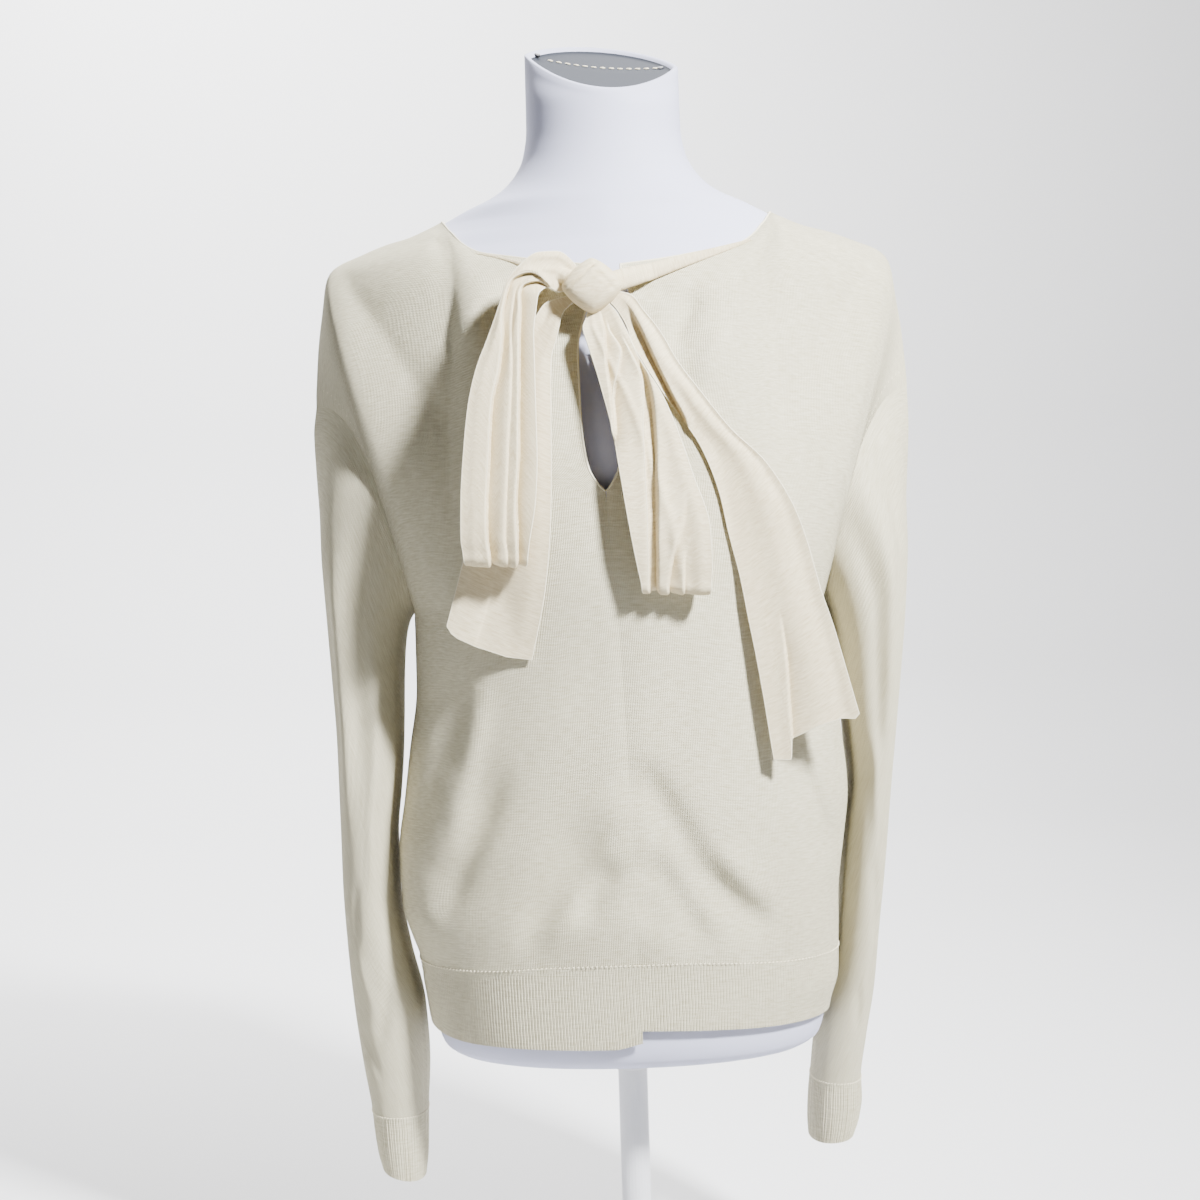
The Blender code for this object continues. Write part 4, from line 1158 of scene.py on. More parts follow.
def knit_material(name, colour, deep, wale, course, depth, sheen=0.25, rough=0.86):
    """Fine jersey: V stitches with painted shade in the gaps between them, a soft haze of fibre and a
    slightly uneven dye.
    """
    nodes = Nodes(name)
    uv = nodes.add("ShaderNodeUVMap", uv_map="cloth").outputs[0]
    place = nodes.place()
    height = stitch_height(nodes, uv, wale, course)
    fuzz = nodes.noise(place, scale=2600, detail=3, roughness=0.7)
    slub = nodes.add("ShaderNodeMapping")
    nodes.feed(slub.inputs["Vector"], uv)
    slub.inputs["Scale"].default_value = STREAK_STRETCH
    streak = nodes.noise(slub.outputs[0], scale=2.2, detail=3, roughness=0.6)
    cloud = nodes.noise(place, scale=14, detail=3, roughness=0.55)
    # The stitch height darkens the colour in the gaps between stitches: painted shade.
    shade = nodes.math("MULTIPLY_ADD", height, PAINTED_STITCH_GAP_SHADE, SHADE_BASE)
    shade = nodes.math("ADD", shade, nodes.math("MULTIPLY", streak, SHADE_OF_STREAK))
    shade = nodes.math("ADD", shade, nodes.math("MULTIPLY", fuzz, SHADE_OF_FUZZ))
    shade = nodes.math("ADD", shade, nodes.math("MULTIPLY", cloud, SHADE_OF_CLOUD), clamp=True)
    fine = nodes.bump(fuzz, distance=0.12, strength=0.5)
    normal = nodes.bump(height, distance=depth, strength=0.75, normal=fine)
    nodes.look(Base_Color=nodes.mix(shade, deep, colour), Normal=normal)
    return finish_cloth(nodes, rough, sheen, colour)


def finish_cloth(nodes, rough, sheen, colour):
    """The soft sheen of cloth, in a lighter tint of its colour. Returns the material."""
    tint = (*(min(1, c * 1.2) for c in colour), 1)
    nodes.look(Roughness=rough, Specular_IOR_Level=0.25)
    nodes.look(Sheen_Weight=sheen, Sheen_Roughness=0.45, Sheen_Tint=tint)
    return nodes.material


def thread_material():
    nodes = Nodes("thread")
    fuzz = nodes.noise(nodes.place(), scale=3000, detail=3, roughness=0.7)
    shade = nodes.mix(nodes.math("MULTIPLY", fuzz, 0.6), THREAD, CREAM)
    nodes.look(Base_Color=shade, Normal=nodes.bump(fuzz, distance=0.1, strength=0.6))
    return finish_cloth(nodes, rough=0.8, sheen=0.2, colour=THREAD)


def cover_material(name, colour):
    """The form's tight woven cover: a very fine even weave with a faint nap."""
    nodes = Nodes(name)
    place = nodes.place()
    weave = nodes.noise(place, scale=1900, detail=2, roughness=0.6)
    cloud = nodes.noise(place, scale=9, detail=3, roughness=0.5)
    deep = tuple(c * 0.93 for c in colour)
    share = nodes.math("MULTIPLY_ADD", weave, 0.5, nodes.math("MULTIPLY", cloud, 0.5))
    nap = nodes.bump(weave, distance=0.06, strength=0.35)
    nodes.look(Base_Color=nodes.mix(share, deep, colour), Normal=nap)
    return finish_cloth(nodes, rough=0.72, sheen=0.12, colour=colour)


def paint_material(name, colour):
    """Satin paint with the faint orange-peel of a sprayed stand. The slots use it too, in near-black painted
    shade.
    """
    nodes = Nodes(name)
    place = nodes.place()
    peel = nodes.noise(place, scale=420, detail=2, roughness=0.5)
    wear = nodes.noise(place, scale=30, detail=4, roughness=0.6)
    dull = tuple(c * 0.9 for c in colour)
    nodes.look(
        Base_Color=nodes.mix(wear, dull, colour),
        Roughness=nodes.math("MULTIPLY_ADD", wear, 0.12, 0.3),
        Normal=nodes.bump(peel, distance=0.05, strength=0.2),
    )
    return nodes.material


KNIT = knit_material("knit", CREAM, CREAM_DEEP, wale=2.5, course=1.8, depth=0.5)
RIB = knit_material("rib", CREAM, CREAM_DEEP, wale=RIB_PITCH, course=1.7, depth=0.55)
RIBBON = knit_material("ribbon", RIBBON_CREAM, RIBBON_DEEP, wale=1.6, course=1.2, depth=0.2, sheen=0.3)
CORD = thread_material()
FORM = cover_material("form_cover", COVER)
FORM_TOP = cover_material("form_top", COVER_TOP)
# The slots' material: near-black painted shade for the inside of each opening.
DARK = paint_material("slot_painted_shade", SLOT_PAINTED_SHADE)
STAND = paint_material("stand_paint", STAND_PAINT)


# ---------------------------------------------------------------- the body


def body_half(side_name, side, face):
    """Half of the front or back and its half of the hem, in fine cloth."""
    u = column_shares()
    seam_z = HEM.at("seam", u)
    rise = np.linspace(0, 1, HANGING_ROWS_OF_CLOTH + 1)[:, None]
    hanging = hanging_points(side_name, side, face, u[None, :], seam_z + (CHEST_Z - seam_z) * rise)
    yoke = yoke_points(side_name, side, face, u, yoke_shares())
    panel = np.concatenate([hanging, yoke[1:]])
    hem_u = np.linspace(0, 1, HEM_COLUMNS_OF_CLOTH + 1)
    seam_z = HEM.at("seam", hem_u)
    low_z = HEM.at(side_name if face == "front" else "back", hem_u)
    drop = np.linspace(0, 1, HEM_ROWS_OF_CLOTH + 1)[:, None]
    hem = hanging_points(side_name, side, face, hem_u[None, :], low_z + (seam_z - low_z) * drop)
    if face == "front":
        panel = press_folds(open_centre(panel, side, u), FOLDS, FOLD_SIDES)
        panel = wave_cloth(press_folds(panel, FINE_FOLDS), face, u)
        hem = open_centre(hem, side, hem_u)
    return rest_on_figure(panel), rest_on_figure(hem)


def smooth_rows(grid, rounds=2, share=0.5):
    """Eases the kinks that the figure leaves in a grid, edges kept."""
    for _ in range(rounds):
        inner = grid[1:-1, 1:-1]
        around = (grid[:-2, 1:-1] + grid[2:, 1:-1] + grid[1:-1, :-2] + grid[1:-1, 2:]) / 4
        inner += (around - inner) * share
    return grid


def sink_seam(grid, normals, column, depth):
    """Draws the cloth in beside a seam at the first or last column, so that a fine groove shows."""
    for i in range(GROOVE_COLUMNS):
        k = i if column == 0 else -1 - i
        grid[:, k] -= normals[:, k] * depth * (1 - i / GROOVE_COLUMNS) ** 1.5


def edge_line(grid, normals, where):
    """The points and normals along one edge, kept as they are now."""
    return grid[where].copy(), normals[where].copy()


def body_cloth():
    """All the body's pieces. Returns the armhole edges and the lines that carry stitches."""
    grids = {}
    yoke = np.s_[-YOKE_ROWS_OF_CLOTH:]
    side_seam = np.s_[: HANGING_ROWS_OF_CLOTH + 1, -1]
    shoulder_line = np.s_[-1, NECK_COLUMNS_OF_CLOTH:]
    for side_name, side in SIDES:
        for face in FACING:
            panel, hem = body_half(side_name, side, face)
            grids[face, side_name] = smooth_rows(panel)
            grids["hem_" + face, side_name] = hem
        for edge in (side_seam, shoulder_line):
            share_edge(grids["front", side_name], grids["back", side_name], edge)
        share_edge(grids["hem_front", side_name], grids["hem_back", side_name], np.s_[:, -1])
    lines = {}
    for side_name, _ in SIDES:
        grid = grids["front", side_name]
        normals = outward_normals(grid)
        lines["centre_" + side_name] = edge_line(grid, normals, np.s_[:, 0])
        lines["neck_front_" + side_name] = edge_line(grid, normals, np.s_[-1, : NECK_COLUMNS_OF_CLOTH + 1])
        lines["hem_front_" + side_name] = edge_line(grid, normals, 0)
        lines["armhole_front_" + side_name] = armhole_marks(grid, normals)
        back = grids["back", side_name]
        lines["armhole_back_" + side_name] = armhole_marks(back, outward_normals(back))
        sink_seam(grid[yoke], normals[yoke], -1, ARMHOLE_GROOVE)
        foot = keyhole_foot_row(grid)
        sink_seam(grid[:foot], normals[:foot], 0, CENTRE_GROOVE)
        make_shell("front_" + side_name, grid, normals, cloth_map(grid), KNIT)
        make_hem("hem_front_" + side_name, grids["hem_front", side_name], 0)
    back = join_halves(grids["back", "left"], grids["back", "right"])
    normals = outward_normals(back)
    middle = back.shape[1] // 2
    neck = np.s_[-1, middle - NECK_COLUMNS_OF_CLOTH : middle + NECK_COLUMNS_OF_CLOTH + 1]
    lines["hem_back"] = edge_line(back, normals, 0)
    lines["neck_back"] = edge_line(back, normals, neck)
    for column in (0, -1):
        sink_seam(back[yoke], normals[yoke], column, ARMHOLE_GROOVE)
    make_shell("back", back, normals, cloth_map(back, middle), KNIT)
    hem = join_halves(grids["hem_back", "left"], grids["hem_back", "right"])
    make_hem("hem_back", hem, hem.shape[1] // 2)
    edges = {}
    for side_name, _ in SIDES:
        edges[side_name] = [grids[face, side_name][-YOKE_ROWS_OF_CLOTH - 1 :, -1] for face in FACING]
    return edges, lines


def keyhole_foot_row(grid):
    """The first row above the foot of the keyhole."""
    return int(np.argmax(grid[:, 0, 2] > KEYHOLE_FOOT))


def armhole_marks(grid, normals):
    """The line of fashioning marks, a little way in from the armhole."""
    low_free, top_free = MARK_FREE_ROWS
    rows = np.s_[low_free - YOKE_ROWS_OF_CLOTH : -top_free]
    distance = lengths_along(grid[:, ::-1], 1)[:, ::-1]
    column = np.abs(distance - MARK_INSET).argmin(axis=1)
    index = np.arange(grid.shape[0])
    return grid[index, column][rows], normals[index, column][rows]


def make_hem(node, hem, start):
    """A ribbed hem, whose map counts from the column start."""
    normals = outward_normals(hem)
    uv = cloth_map(hem, start)
    height = np.full(hem.shape[:2], RIB_HEIGHT)
    height[-1] *= RIB_AT_SEAM
    wave = np.cos(uv[..., 0] / RIB_PITCH * 2 * math.pi)
    ribbed = hem + normals * (height * wave)[..., None]
    ribbed[0] -= normals[0] * HEM_EDGE_TURN
    make_shell(node, ribbed, normals, uv, RIB)


# ---------------------------------------------------------------- the sleeves


def fine_rows(rows, between):
    """Sleeve sections at every row and evenly between them."""
    table = np.array(rows, float)
    key = np.arange(len(rows))
    at = np.linspace(0, len(rows) - 1, (len(rows) - 1) * between + 1)
    return np.stack([smooth_between(key, table[:, k], at) for k in range(table.shape[1])], axis=-1), at


def sleeve_ring(row, side, angles):
    """One section of a sleeve, from the armpit side round the front to the outer side and back."""
    outer_x, outer_z, inner_x, inner_z, half_depth, middle_y = row
    along, forward = superellipse(angles, SLEEVE_POWER)
    x = (outer_x + inner_x) / 2 + (outer_x - inner_x) / 2 * along
    z = (outer_z + inner_z) / 2 + (outer_z - inner_z) / 2 * along
    return np.stack([side * x, middle_y - half_depth * forward, z], axis=-1)


def press_sleeve(rings, angles, side_name):
    """Presses the sleeve's soft folds in. Angles run from 0 at the outer side."""
    inward = unit((rings.mean(axis=1, keepdims=True) - rings) * (1, 1, 0))
    turn = (angles / (2 * math.pi)) % 1
    z = rings[..., 2]
    for top_turn, top_z, low_turn, low_z, width, depth in SLEEVE_FOLDS[side_name]:
        along = (top_z - z) / (top_z - low_z)
        line = top_turn + (low_turn - top_turn) * np.clip(along, 0, 1)
        off = np.abs(turn[None, :] - line)
        off = np.minimum(off, 1 - off)
        ends = smoothstep(along * FOLD_ENDS) * smoothstep((1 - along) * FOLD_ENDS)
        rings += inward * (SLEEVE_FOLD_GAIN * depth * ends * np.exp(-((off / width) ** 2)))[..., None]
    return rings


def sleeve_cloth(side_name, side, edges):
    """A sleeve on the armhole's edges, and its cuff. Returns the line of their seam."""
    front, back = edges
    armhole = np.concatenate([front, back[-2:0:-1]])
    armhole[:, 0] += side * ARMHOLE_SHIFT
    half_turn = math.pi * (1 - yoke_shares())
    angles = np.concatenate([half_turn, -half_turn[-2:0:-1]])
    all_rows, at = fine_rows(SLEEVE_ROWS[side_name] + CUFF_ROWS[side_name], SLEEVE_ROWS_BETWEEN)
    seam = (len(SLEEVE_ROWS[side_name]) - 1) * SLEEVE_ROWS_BETWEEN
    rings = np.array([sleeve_ring(row, side, angles) for row in all_rows[: seam + 1]])
    off = armhole - rings[0]
    for i, station in enumerate(at[: seam + 1]):
        if station <= ARMHOLE_FADE_RINGS:
            rings[i] += off * (1 - smoothstep(station / ARMHOLE_FADE_RINGS))
    rings = press_sleeve(rings, angles, side_name)
    normals = outward_normals(rings, closed=True)
    uv = cloth_map(rings, 0, closed=True)
    uv[..., 1] *= -1
    turns = (angles / (2 * math.pi)) % 1
    seam_column = int(np.abs(turns - SLEEVE_SEAM_TURN).argmin())
    rings[:, seam_column] -= normals[:, seam_column] * ARMHOLE_GROOVE
    make_shell("sleeve_" + side_name, rings, normals, uv, KNIT, closed=True)
    turns = even_turns(CUFF_POINTS)
    cuff = np.array([sleeve_ring(row, side, turns) for row in all_rows[seam:]])
    normals = outward_normals(cuff, closed=True)
    uv = cloth_map(cuff, 0, closed=True)
    ribs = round(uv[0, -1, 0] / RIB_PITCH)
    height = np.full(cuff.shape[:2], RIB_HEIGHT)
    height[0] *= RIB_AT_SEAM
    ribbed = cuff + normals * (height * np.cos(turns * ribs))[..., None]
    make_shell("cuff_" + side_name, ribbed, normals, uv, RIB, closed=True)
    return tuple(np.concatenate([ring, ring[:1]]) for ring in (cuff[0], normals[0]))


# ---------------------------------------------------------------- the bow


def front_of(objects):
    """A function that gives the frontmost y of the objects at a place seen from the front."""
    trees = []
    for item in objects:
        points = [v.co / MM for v in item.data.vertices]
        trees.append(BVHTree.FromPolygons(points, [list(p.vertices) for p in item.data.polygons]))

    def depth(x, z):
        nearest = 0.0
        for tree in trees:
            hit = tree.ray_cast(Vector((x, RAY_START, z)), Vector((0, 1, 0)))[0]
            if hit is not None:
                nearest = min(nearest, hit.y)
        return nearest

    return depth


def knife_relief(name, station, share, width):
    """How far knife folds and soft rolls set a ribbon back, at its stations and shares across."""
    depth = np.zeros((len(station), len(share)))
    for edges, step, way, begins in KNIFE_FOLDS[name]:
        line = smooth_between(np.arange(len(edges)), np.array(edges), station)[:, None]
        off = (share[None, :] - line) * way * width[:, None]
        behind = smoothstep(off / FOLD_SHARPNESS) * np.exp(-np.maximum(off, 0) / FOLD_RISE)
        before = smoothstep(-off / FOLD_SHARPNESS) * smoothstep(1 + off / FOLD_CROWN)
        grown = smoothstep((station - begins) / FOLD_GROWTH)[:, None]
        depth += step * grown * (behind - FOLD_CROWN_SHARE * before)
    down = station / station.max()
    for top, foot, breadth, deep in SOFT_ROLLS[name]:
        line = (top + (foot - top) * down)[:, None]
        depth += deep * np.exp(-(((share[None, :] - line) / breadth) ** 2))
    return depth


def row_under_knot(row):
    """A ribbon's hidden beginning, gathered under the knot."""
    first = row.copy()
    centre = np.array(KNOT_CENTRE[::2] * 2)
    first[:4] = centre + (row[:4] - centre) * KNOT_HIDES
    return first


def fine_ribbon(rows, name, under, lift=LAYER_LIFT, relief=True):
    """A ribbon's front face, fine enough for its folds, in front of what lies under it."""
    table = np.array(rows, float)
    if relief:
        table = np.concatenate([row_under_knot(table[0])[None], table])
    key = np.arange(len(table), dtype=float)
    at = np.linspace(0, len(table) - 1, RIBBON_STEPS + 1)
    left_x, left_z, right_x, right_z, reach = (smooth_between(key, table[:, k], at) for k in range(5))
    share = np.linspace(0, 1, RIBBON_ACROSS + 1)
    grid = np.zeros((RIBBON_STEPS + 1, RIBBON_ACROSS + 1, 3))
    grid[..., 0] = left_x[:, None] + (right_x - left_x)[:, None] * share
    grid[..., 2] = left_z[:, None] + (right_z - left_z)[:, None] * share
    grid[..., 1] = -reach[:, None]
    for point in grid.reshape(-1, 3):
        point[1] = min(point[1], under(point[0], point[2]) - lift - RIBBON_SHELL)
    grid = smooth_depth(grid)
    if relief:
        grown = smoothstep((at - RELIEF_FROM) / RELIEF_OVER)[:, None]
        width = np.hypot(right_x - left_x, right_z - left_z)
        grid[..., 1] += knife_relief(name, np.maximum(at - 1, 0), share, width) * grown
    return grid


def smooth_depth(grid, rounds=12, share=0.7):
    """Evens out a ribbon's depth without letting it sink into what lies under it."""
    limit = grid[..., 1].copy()
    y = grid[..., 1]
    for _ in range(rounds):
        wide = np.pad(y, 1, mode="edge")
        mean = (wide[:-2, 1:-1] + wide[2:, 1:-1] + wide[1:-1, :-2] + wide[1:-1, 2:]) / 4
        y = np.minimum(y + (mean - y) * share, limit)
    grid[..., 1] = y
    return grid


def ribbon_normals(grid):
    """Normals that face the front at the ribbon's beginning."""
    normals = grid_normals(grid)
    if normals[2, grid.shape[1] // 2, 1] > 0:
        normals = -normals
    return normals


def rim_of(grid):
    """The open edges of a ribbon: down one side, across the foot, up the other side."""
    return np.concatenate([grid[:, 0], grid[-1, 1:-1], grid[::-1, -1]])


def tail_cloth(side_name, under):
    """A tail of the bow in one layer, with a cord along its edges."""
    name = "tail_" + side_name
    grid = fine_ribbon(TAIL_ROWS[side_name], name, under)
    draw_to_knot(grid)
    shape_foot(grid, TAIL_FOOT[side_name])
    normals = ribbon_normals(grid)
    made = make_shell("bow_" + name, grid, normals, cloth_map(grid), RIBBON, RIBBON_SHELL)
    add_cord("edge_" + name, rim_of(grid - normals * RIBBON_SHELL / 2), EDGE_CORD)
    return made


def draw_to_knot(grid):
    """Gathers a ribbon towards the knot over its first rows."""
    centre = np.array(KNOT_CENTRE, float)
    for i in range(GATHER_ROWS):
        share = (1 - smoothstep(i / GATHER_ROWS)) * GATHER_SHARE
        middle = grid[i].mean(axis=0)
        target = middle + (centre - middle) * GATHER_PULL
        for k in (0, 2):
            grid[i, :, k] += (target[k] - grid[i, :, k]) * share


def shape_foot(grid, foot):
    """Shapes a tail's lower edge from (share across, rise) pairs."""
    share = np.linspace(0, 1, grid.shape[1])
    rise = np.interp(share, *np.array(foot).T)
    for i in range(TAIL_FOOT_ROWS):
        grid[-1 - i, :, 2] += rise * (1 - i / TAIL_FOOT_ROWS)


def loop_cloth(side_name, under):
    """A loop of the bow: its front layer, the turn at its foot, and its back layer."""
    name = "loop_" + side_name
    front = fine_ribbon(LOOP_ROWS[side_name], name, under, lift=LOOP_HOLLOW)
    draw_to_knot(front)
    back_rows = [
        (left_x + LOOP_INSET, left_z, right_x - LOOP_INSET, right_z, 0)
        for left_x, left_z, right_x, right_z, _ in LOOP_ROWS[side_name][2:]
    ]
    back = fine_ribbon(back_rows, name, under, relief=False)
    back[..., 1] = np.minimum(back[..., 1].min(axis=1, keepdims=True), back[..., 1])
    turn = []
    half = (front[-1] + back[-1]) / 2
    toward = (front[-1] - back[-1]) / 2
    drop = np.abs(toward[:, 1:2]) * LOOP_TURN_DROP
    for k in range(1, LOOP_TURN_ROWS):
        angle = k * math.pi / LOOP_TURN_ROWS
        turn.append(half + toward * math.cos(angle) + np.array([0, 0, -1]) * drop * math.sin(angle))
    grid = np.concatenate([front, np.array(turn), back[::-1]])
    normals = ribbon_normals(grid)
    make_shell("bow_" + name, grid, normals, cloth_map(grid), RIBBON, RIBBON_SHELL)
    middle = grid - normals * RIBBON_SHELL / 2
    for end, column in (("outer", 0), ("inner", -1)):
        add_cord("edge_" + name + "_" + end, middle[:, column], EDGE_CORD)
    fold_edges(name, front, len(LOOP_ROWS[side_name]))


def fold_edges(name, front, stations):
    """A selvage cord along each knife fold whose edge is the ribbon's own."""
    station = np.maximum(np.linspace(0, stations, len(front)) - 1, 0)
    index = np.arange(len(front))
    for number in SELVAGE_FOLDS[name]:
        edges, _, way, begins = KNIFE_FOLDS[name][number]
        line = smooth_between(np.arange(len(edges)), np.array(edges), station)
        place = np.clip(line * RIBBON_ACROSS - way, 0, RIBBON_ACROSS)
        low = np.floor(place).astype(int)
        part = (place - low)[:, None]
        high = np.minimum(low + 1, RIBBON_ACROSS)
        points = front[index, low] * (1 - part) + front[index, high] * part
        inside = (line > SELVAGE_MARGIN) & (line < 1 - SELVAGE_MARGIN)
        shown = (station > begins + SELVAGE_WAIT) & inside
        add_cord("selvage_" + name + "_" + str(number), points[shown], SELVAGE_CORD)


def knot_cloth():
    """The knot: a wrapped band that stands on its corner, with the fold of its free edge."""
    centre, half = np.array(KNOT_CENTRE, float), np.array(KNOT_HALF, float) * KNOT_SPREAD
    across = np.cos(np.linspace(KNOT_END_ANGLE, math.pi - KNOT_END_ANGLE, KNOT_STATIONS))
    high = (1 - np.abs(across) ** KNOT_CORNER) ** (1 / KNOT_CORNER)
    deep = (1 - np.abs(across) ** KNOT_DEPTH_POWER) ** (1 / KNOT_DEPTH_POWER)
    c, s = superellipse(even_turns(KNOT_ROUND), KNOT_ROUNDNESS)
    grid = np.zeros((KNOT_STATIONS, KNOT_ROUND, 3))
    grid[..., 0] = centre[0] + half[0] * across[:, None]
    grid[..., 2] = centre[2] + half[2] * high[:, None] * s
    grid[..., 1] = centre[1] - half[1] * deep[:, None] * c
    dx, dz = grid[..., 0] - centre[0], grid[..., 2] - centre[2]
    front = smoothstep(c)[None, :] * deep[:, None]
    for slant, place, width, depth in KNOT_CREASES:
        off = dx * math.cos(slant) + dz * math.sin(slant) - place
        grid[..., 1] += depth * front * np.exp(-((off / width) ** 2))
    uv = cloth_map(grid, 0, closed=True)
    mesh = solid_mesh("cloth_knot", grid, uv[..., ::-1])
    add_piece("cloth_knot", mesh, RIBBON, "bow_knot")


def band_cloth(side_name, under):
    """The rolled band along the neckline, with the turn of its fold along the top."""
    path = Path(BAND_ROWS[side_name])
    centres, radii = [], []
    for share in np.linspace(0, 1, BAND_STATIONS):
        x, z, radius, reach = path.at(share)
        rises = radius * np.linspace(-1, 1, BAND_PROBES)
        surface = min(under(x, z + rise) - BAND_FLAT * math.sqrt(radius**2 - rise**2) for rise in rises)
        centres.append(np.array([x, min(-reach, surface - BAND_LIFT), z]))
        radii.append(radius)
    centres = np.array(centres)
    for _ in range(BAND_ROUNDS):
        centres[1:-1] += (centres[:-2] + centres[2:] - 2 * centres[1:-1]) / 4
    ahead = unit(np.gradient(centres, axis=0))
    up = unit(np.cross(ahead, (0, 1, 0)))
    out = np.cross(up, ahead)
    turns = even_turns(BAND_ROUND)[None, :, None]
    turn_of_fold = np.exp(-(((turns - BAND_TURN_ANGLE) / BAND_TURN_WIDTH) ** 2))
    size = np.array(radii)[:, None, None] * (1 - BAND_TURN_DEPTH * turn_of_fold)
    around = np.cos(turns) * up[:, None] + BAND_FLAT * np.sin(turns) * out[:, None]
    grid = centres[:, None] + size * around
    name = "neck_band_" + side_name
    mesh = solid_mesh("cloth_" + name, grid, cloth_map(grid, 0, closed=True))
    return add_piece("cloth_" + name, mesh, RIBBON, name)


def bow_cloth():
    """The bow from the inside out, each piece in front of those laid before it."""
    laid = [bpy.data.objects[name] for name in ("cloth_front_left", "cloth_front_right", "cover_torso")]
    for make in (band_cloth, tail_cloth):
        laid += [make(side_name, front_of(laid)) for side_name, _ in SIDES]
    for side_name, _ in SIDES:
        loop_cloth(side_name, front_of(laid))
    knot_cloth()


# ---------------------------------------------------------------- seams and thread


def lay_stitches(
    name, line, pitch=STITCH_PITCH, lift=STITCH_LIFT, tilt=0.0, length=STITCH_LENGTH, radius=STITCH_RADIUS
):
    """One piece of thread: all the stitches along a line of points and normals."""
    places, ways, ups = along_curve(*line, pitch)
    sides = np.cross(ups, ways)
    ways = ways * math.cos(tilt) + sides * math.sin(tilt)
    add_piece(name, stitch_mesh(name, places + ups * lift, ways, ups, length, radius), CORD)


def seam_details(lines, cuffs):
    """The stitches of the hem and cuffs, the fashioning marks, and the cord along the neckline."""
    for name in ("hem_front_left", "hem_front_right", "hem_back"):
        lay_stitches("stitch_" + name, lines[name], **HEM_STITCHES)
    for side_name, line in cuffs.items():
        lay_stitches("stitch_cuff_" + side_name, line, **CUFF_STITCHES)
    for side_name, _ in SIDES:
        for face in FACING:
            line = lines["armhole_" + face + "_" + side_name]
            lay_stitches("mark_" + face + "_" + side_name, line, **MARK_STITCHES)
        points, normals = lines["centre_" + side_name]
        foot = keyhole_foot_row(points[:, None])
        keyhole = points[foot:] - normals[foot:] * NECK_CORD_SINK
        neck, neck_normals = lines["neck_front_" + side_name]
        edge = np.concatenate([keyhole, neck[1:] - neck_normals[1:] * NECK_CORD_SINK])
        add_cord("edge_neck_" + side_name, edge, NECK_CORD)
    neck, normals = lines["neck_back"]
    add_cord("edge_neck_back", neck - normals * NECK_CORD_SINK, NECK_CORD)


# ---------------------------------------------------------------- the form and its stand


def form_cloth():
    """The padded form, drawn in at its foot, with its sunk and dark top."""
    heights = [row[0] for row in FIGURE_ROWS]
    fine = []
    for low, high in zip(heights, heights[1:]):
        parts = max(FIGURE_ROWS_BETWEEN, int((high - low) / FIGURE_RING_GAP))
        fine += [low + (high - low) * k / parts for k in range(parts)]
    rings = [figure_ring(heights[0], inset=inset) for inset in FOOT_INSETS]
    rings += [figure_ring(z) for z in fine + [heights[-1]]]
    rings += [figure_ring(NECK_TOP, inset=inset, drop=drop) for inset, drop in NECK_RIM]
    grid = np.array(rings)
    mesh = solid_mesh("cover_torso", grid, cloth_map(grid, 0, closed=True))
    made = add_piece("cover_torso", mesh, FORM, "form_torso")
    made.data.materials.append(FORM_TOP)
    first = (len(rings) - DARK_RINGS) * FIGURE_RING_POINTS
    for polygon in made.data.polygons[first:]:
        if polygon.center.z > NECK_TOP * MM / 2:
            polygon.material_index = 1


def neck_top_details():
    """A line of running stitches across the sunk top, and a small slot at each end, whose dark colour is
    painted shade.
    """
    half = FIGURE.at("half_width", float(NECK_TOP))
    up = unit(np.array([-NECK_SIDE_SLOPE, -NECK_TOP_SLOPE, 1.0]))

    def on_top(x, y, lift):
        sag = PINCH_SAG * (1 - (x / half) ** 2)
        level = NECK_TOP - NECK_RECESS + NECK_SIDE_SLOPE * x + NECK_TOP_SLOPE * y - sag
        return np.array([x, y, level + lift])

    line = [on_top(x, TOP_SEAM_Y, TOP_SEAM_LIFT) for x in np.linspace(*TOP_SEAM_ENDS, TOP_SEAM_POINTS)]
    lay_stitches("stitch_neck_top", (line, [up] * TOP_SEAM_POINTS), **TOP_STITCHES)
    for name, x, lifted in SLOTS:
        rings = []
        for wide, lift in SLOT_PROFILE:
            half_x, half_y = SLOT_HALF_WIDTH * wide, SLOT_HALF_DEPTH * wide
            rings.append([
                on_top(x + half_x * math.cos(turn), TOP_SEAM_Y + half_y * math.sin(turn), lift + lifted)
                for turn in even_turns(SLOT_POINTS)
            ])
        rings = np.array(rings)
        add_piece(name, solid_mesh(name, rings, cloth_map(rings, 0, closed=True)), DARK)


def stand_looks():
    """Satin paint for the pole and the base, whose CAD shape stays."""
    for node in ("stand_pole", "stand_base"):
        item = frame["nodes"][node]
        item.data.materials.clear()
        item.data.materials.append(STAND)


# ---------------------------------------------------------------- light, floor and camera


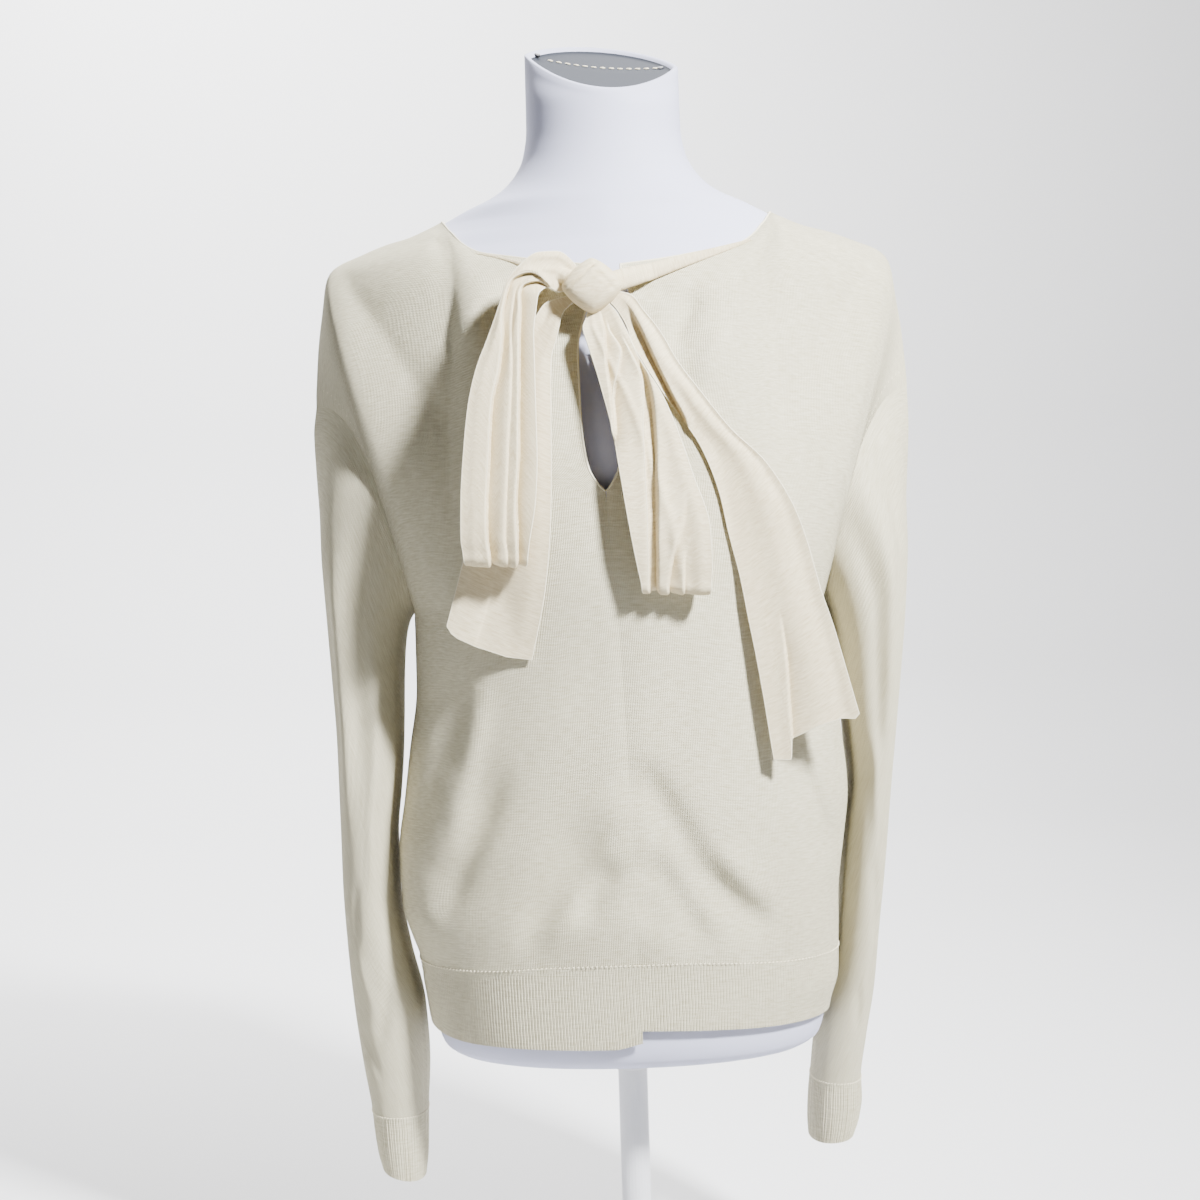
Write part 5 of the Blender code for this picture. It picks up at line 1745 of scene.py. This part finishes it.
def add_light(name, place, target, size, power, colour, spread):
    light = bpy.data.lights.new(name, "AREA")
    light.shape = "RECTANGLE"
    light.size, light.size_y = size
    light.energy = power
    light.spread = math.radians(spread)
    light.color = colour
    item = bpy.data.objects.new(name, light)
    item.location = place
    item.rotation_euler = (Vector(target) - Vector(place)).to_track_quat("-Z", "Y").to_euler()
    bpy.context.scene.collection.objects.link(item)


def studio():
    """A dim sky, three lights, and a pale floor that rises to a wall."""
    world = bpy.data.worlds.new("studio")
    world.use_nodes = True
    background = world.node_tree.nodes["Background"]
    background.inputs[0].default_value = (*SKY, 1)
    background.inputs[1].default_value = SKY_STRENGTH
    bpy.context.scene.world = world
    for light in LIGHTS:
        add_light(*light)
    points = [(x, y, z - FLOOR_DROP) for x in (-FLOOR_SIDE, FLOOR_SIDE) for y, z in FLOOR_PROFILE]
    count = len(FLOOR_PROFILE)
    faces = [(i, i + 1, count + i + 1, count + i) for i in range(count - 1)]
    mesh = bpy.data.meshes.new("floor")
    mesh.from_pydata(points, [], faces)
    mesh.shade_smooth()
    nodes = Nodes("floor")
    nodes.look(Base_Color=(*FLOOR_GREY, 1), Roughness=0.9)
    mesh.materials.append(nodes.material)
    floor = bpy.data.objects.new("floor", mesh)
    bpy.context.scene.collection.objects.link(floor)


def camera():
    """The photograph's view: turned down by the pitch and rolled."""
    pitch, roll = math.radians(CAMERA_PITCH), math.radians(CAMERA_ROLL)
    ahead = Vector((0, math.cos(pitch), -math.sin(pitch)))
    right = Vector((1, 0, 0))
    up = right.cross(ahead)
    turned = right * math.cos(roll) - up * math.sin(roll)
    upright = right * math.sin(roll) + up * math.cos(roll)
    item = bpy.data.objects.new("camera", bpy.data.cameras.new("camera"))
    item.data.lens = CAMERA_LENS
    item.data.sensor_width = CAMERA_SENSOR
    place = Matrix((turned, upright, -ahead)).transposed().to_4x4()
    place.translation = Vector(CAMERA_PLACE) * MM
    item.matrix_world = place
    bpy.context.scene.collection.objects.link(item)
    bpy.context.scene.camera = item


form_cloth()
neck_top_details()
armhole_edges, seam_lines = body_cloth()
cuff_lines = {name: sleeve_cloth(name, side, armhole_edges[name]) for name, side in SIDES}
bow_cloth()
seam_details(seam_lines, cuff_lines)
stand_looks()
studio()
camera()
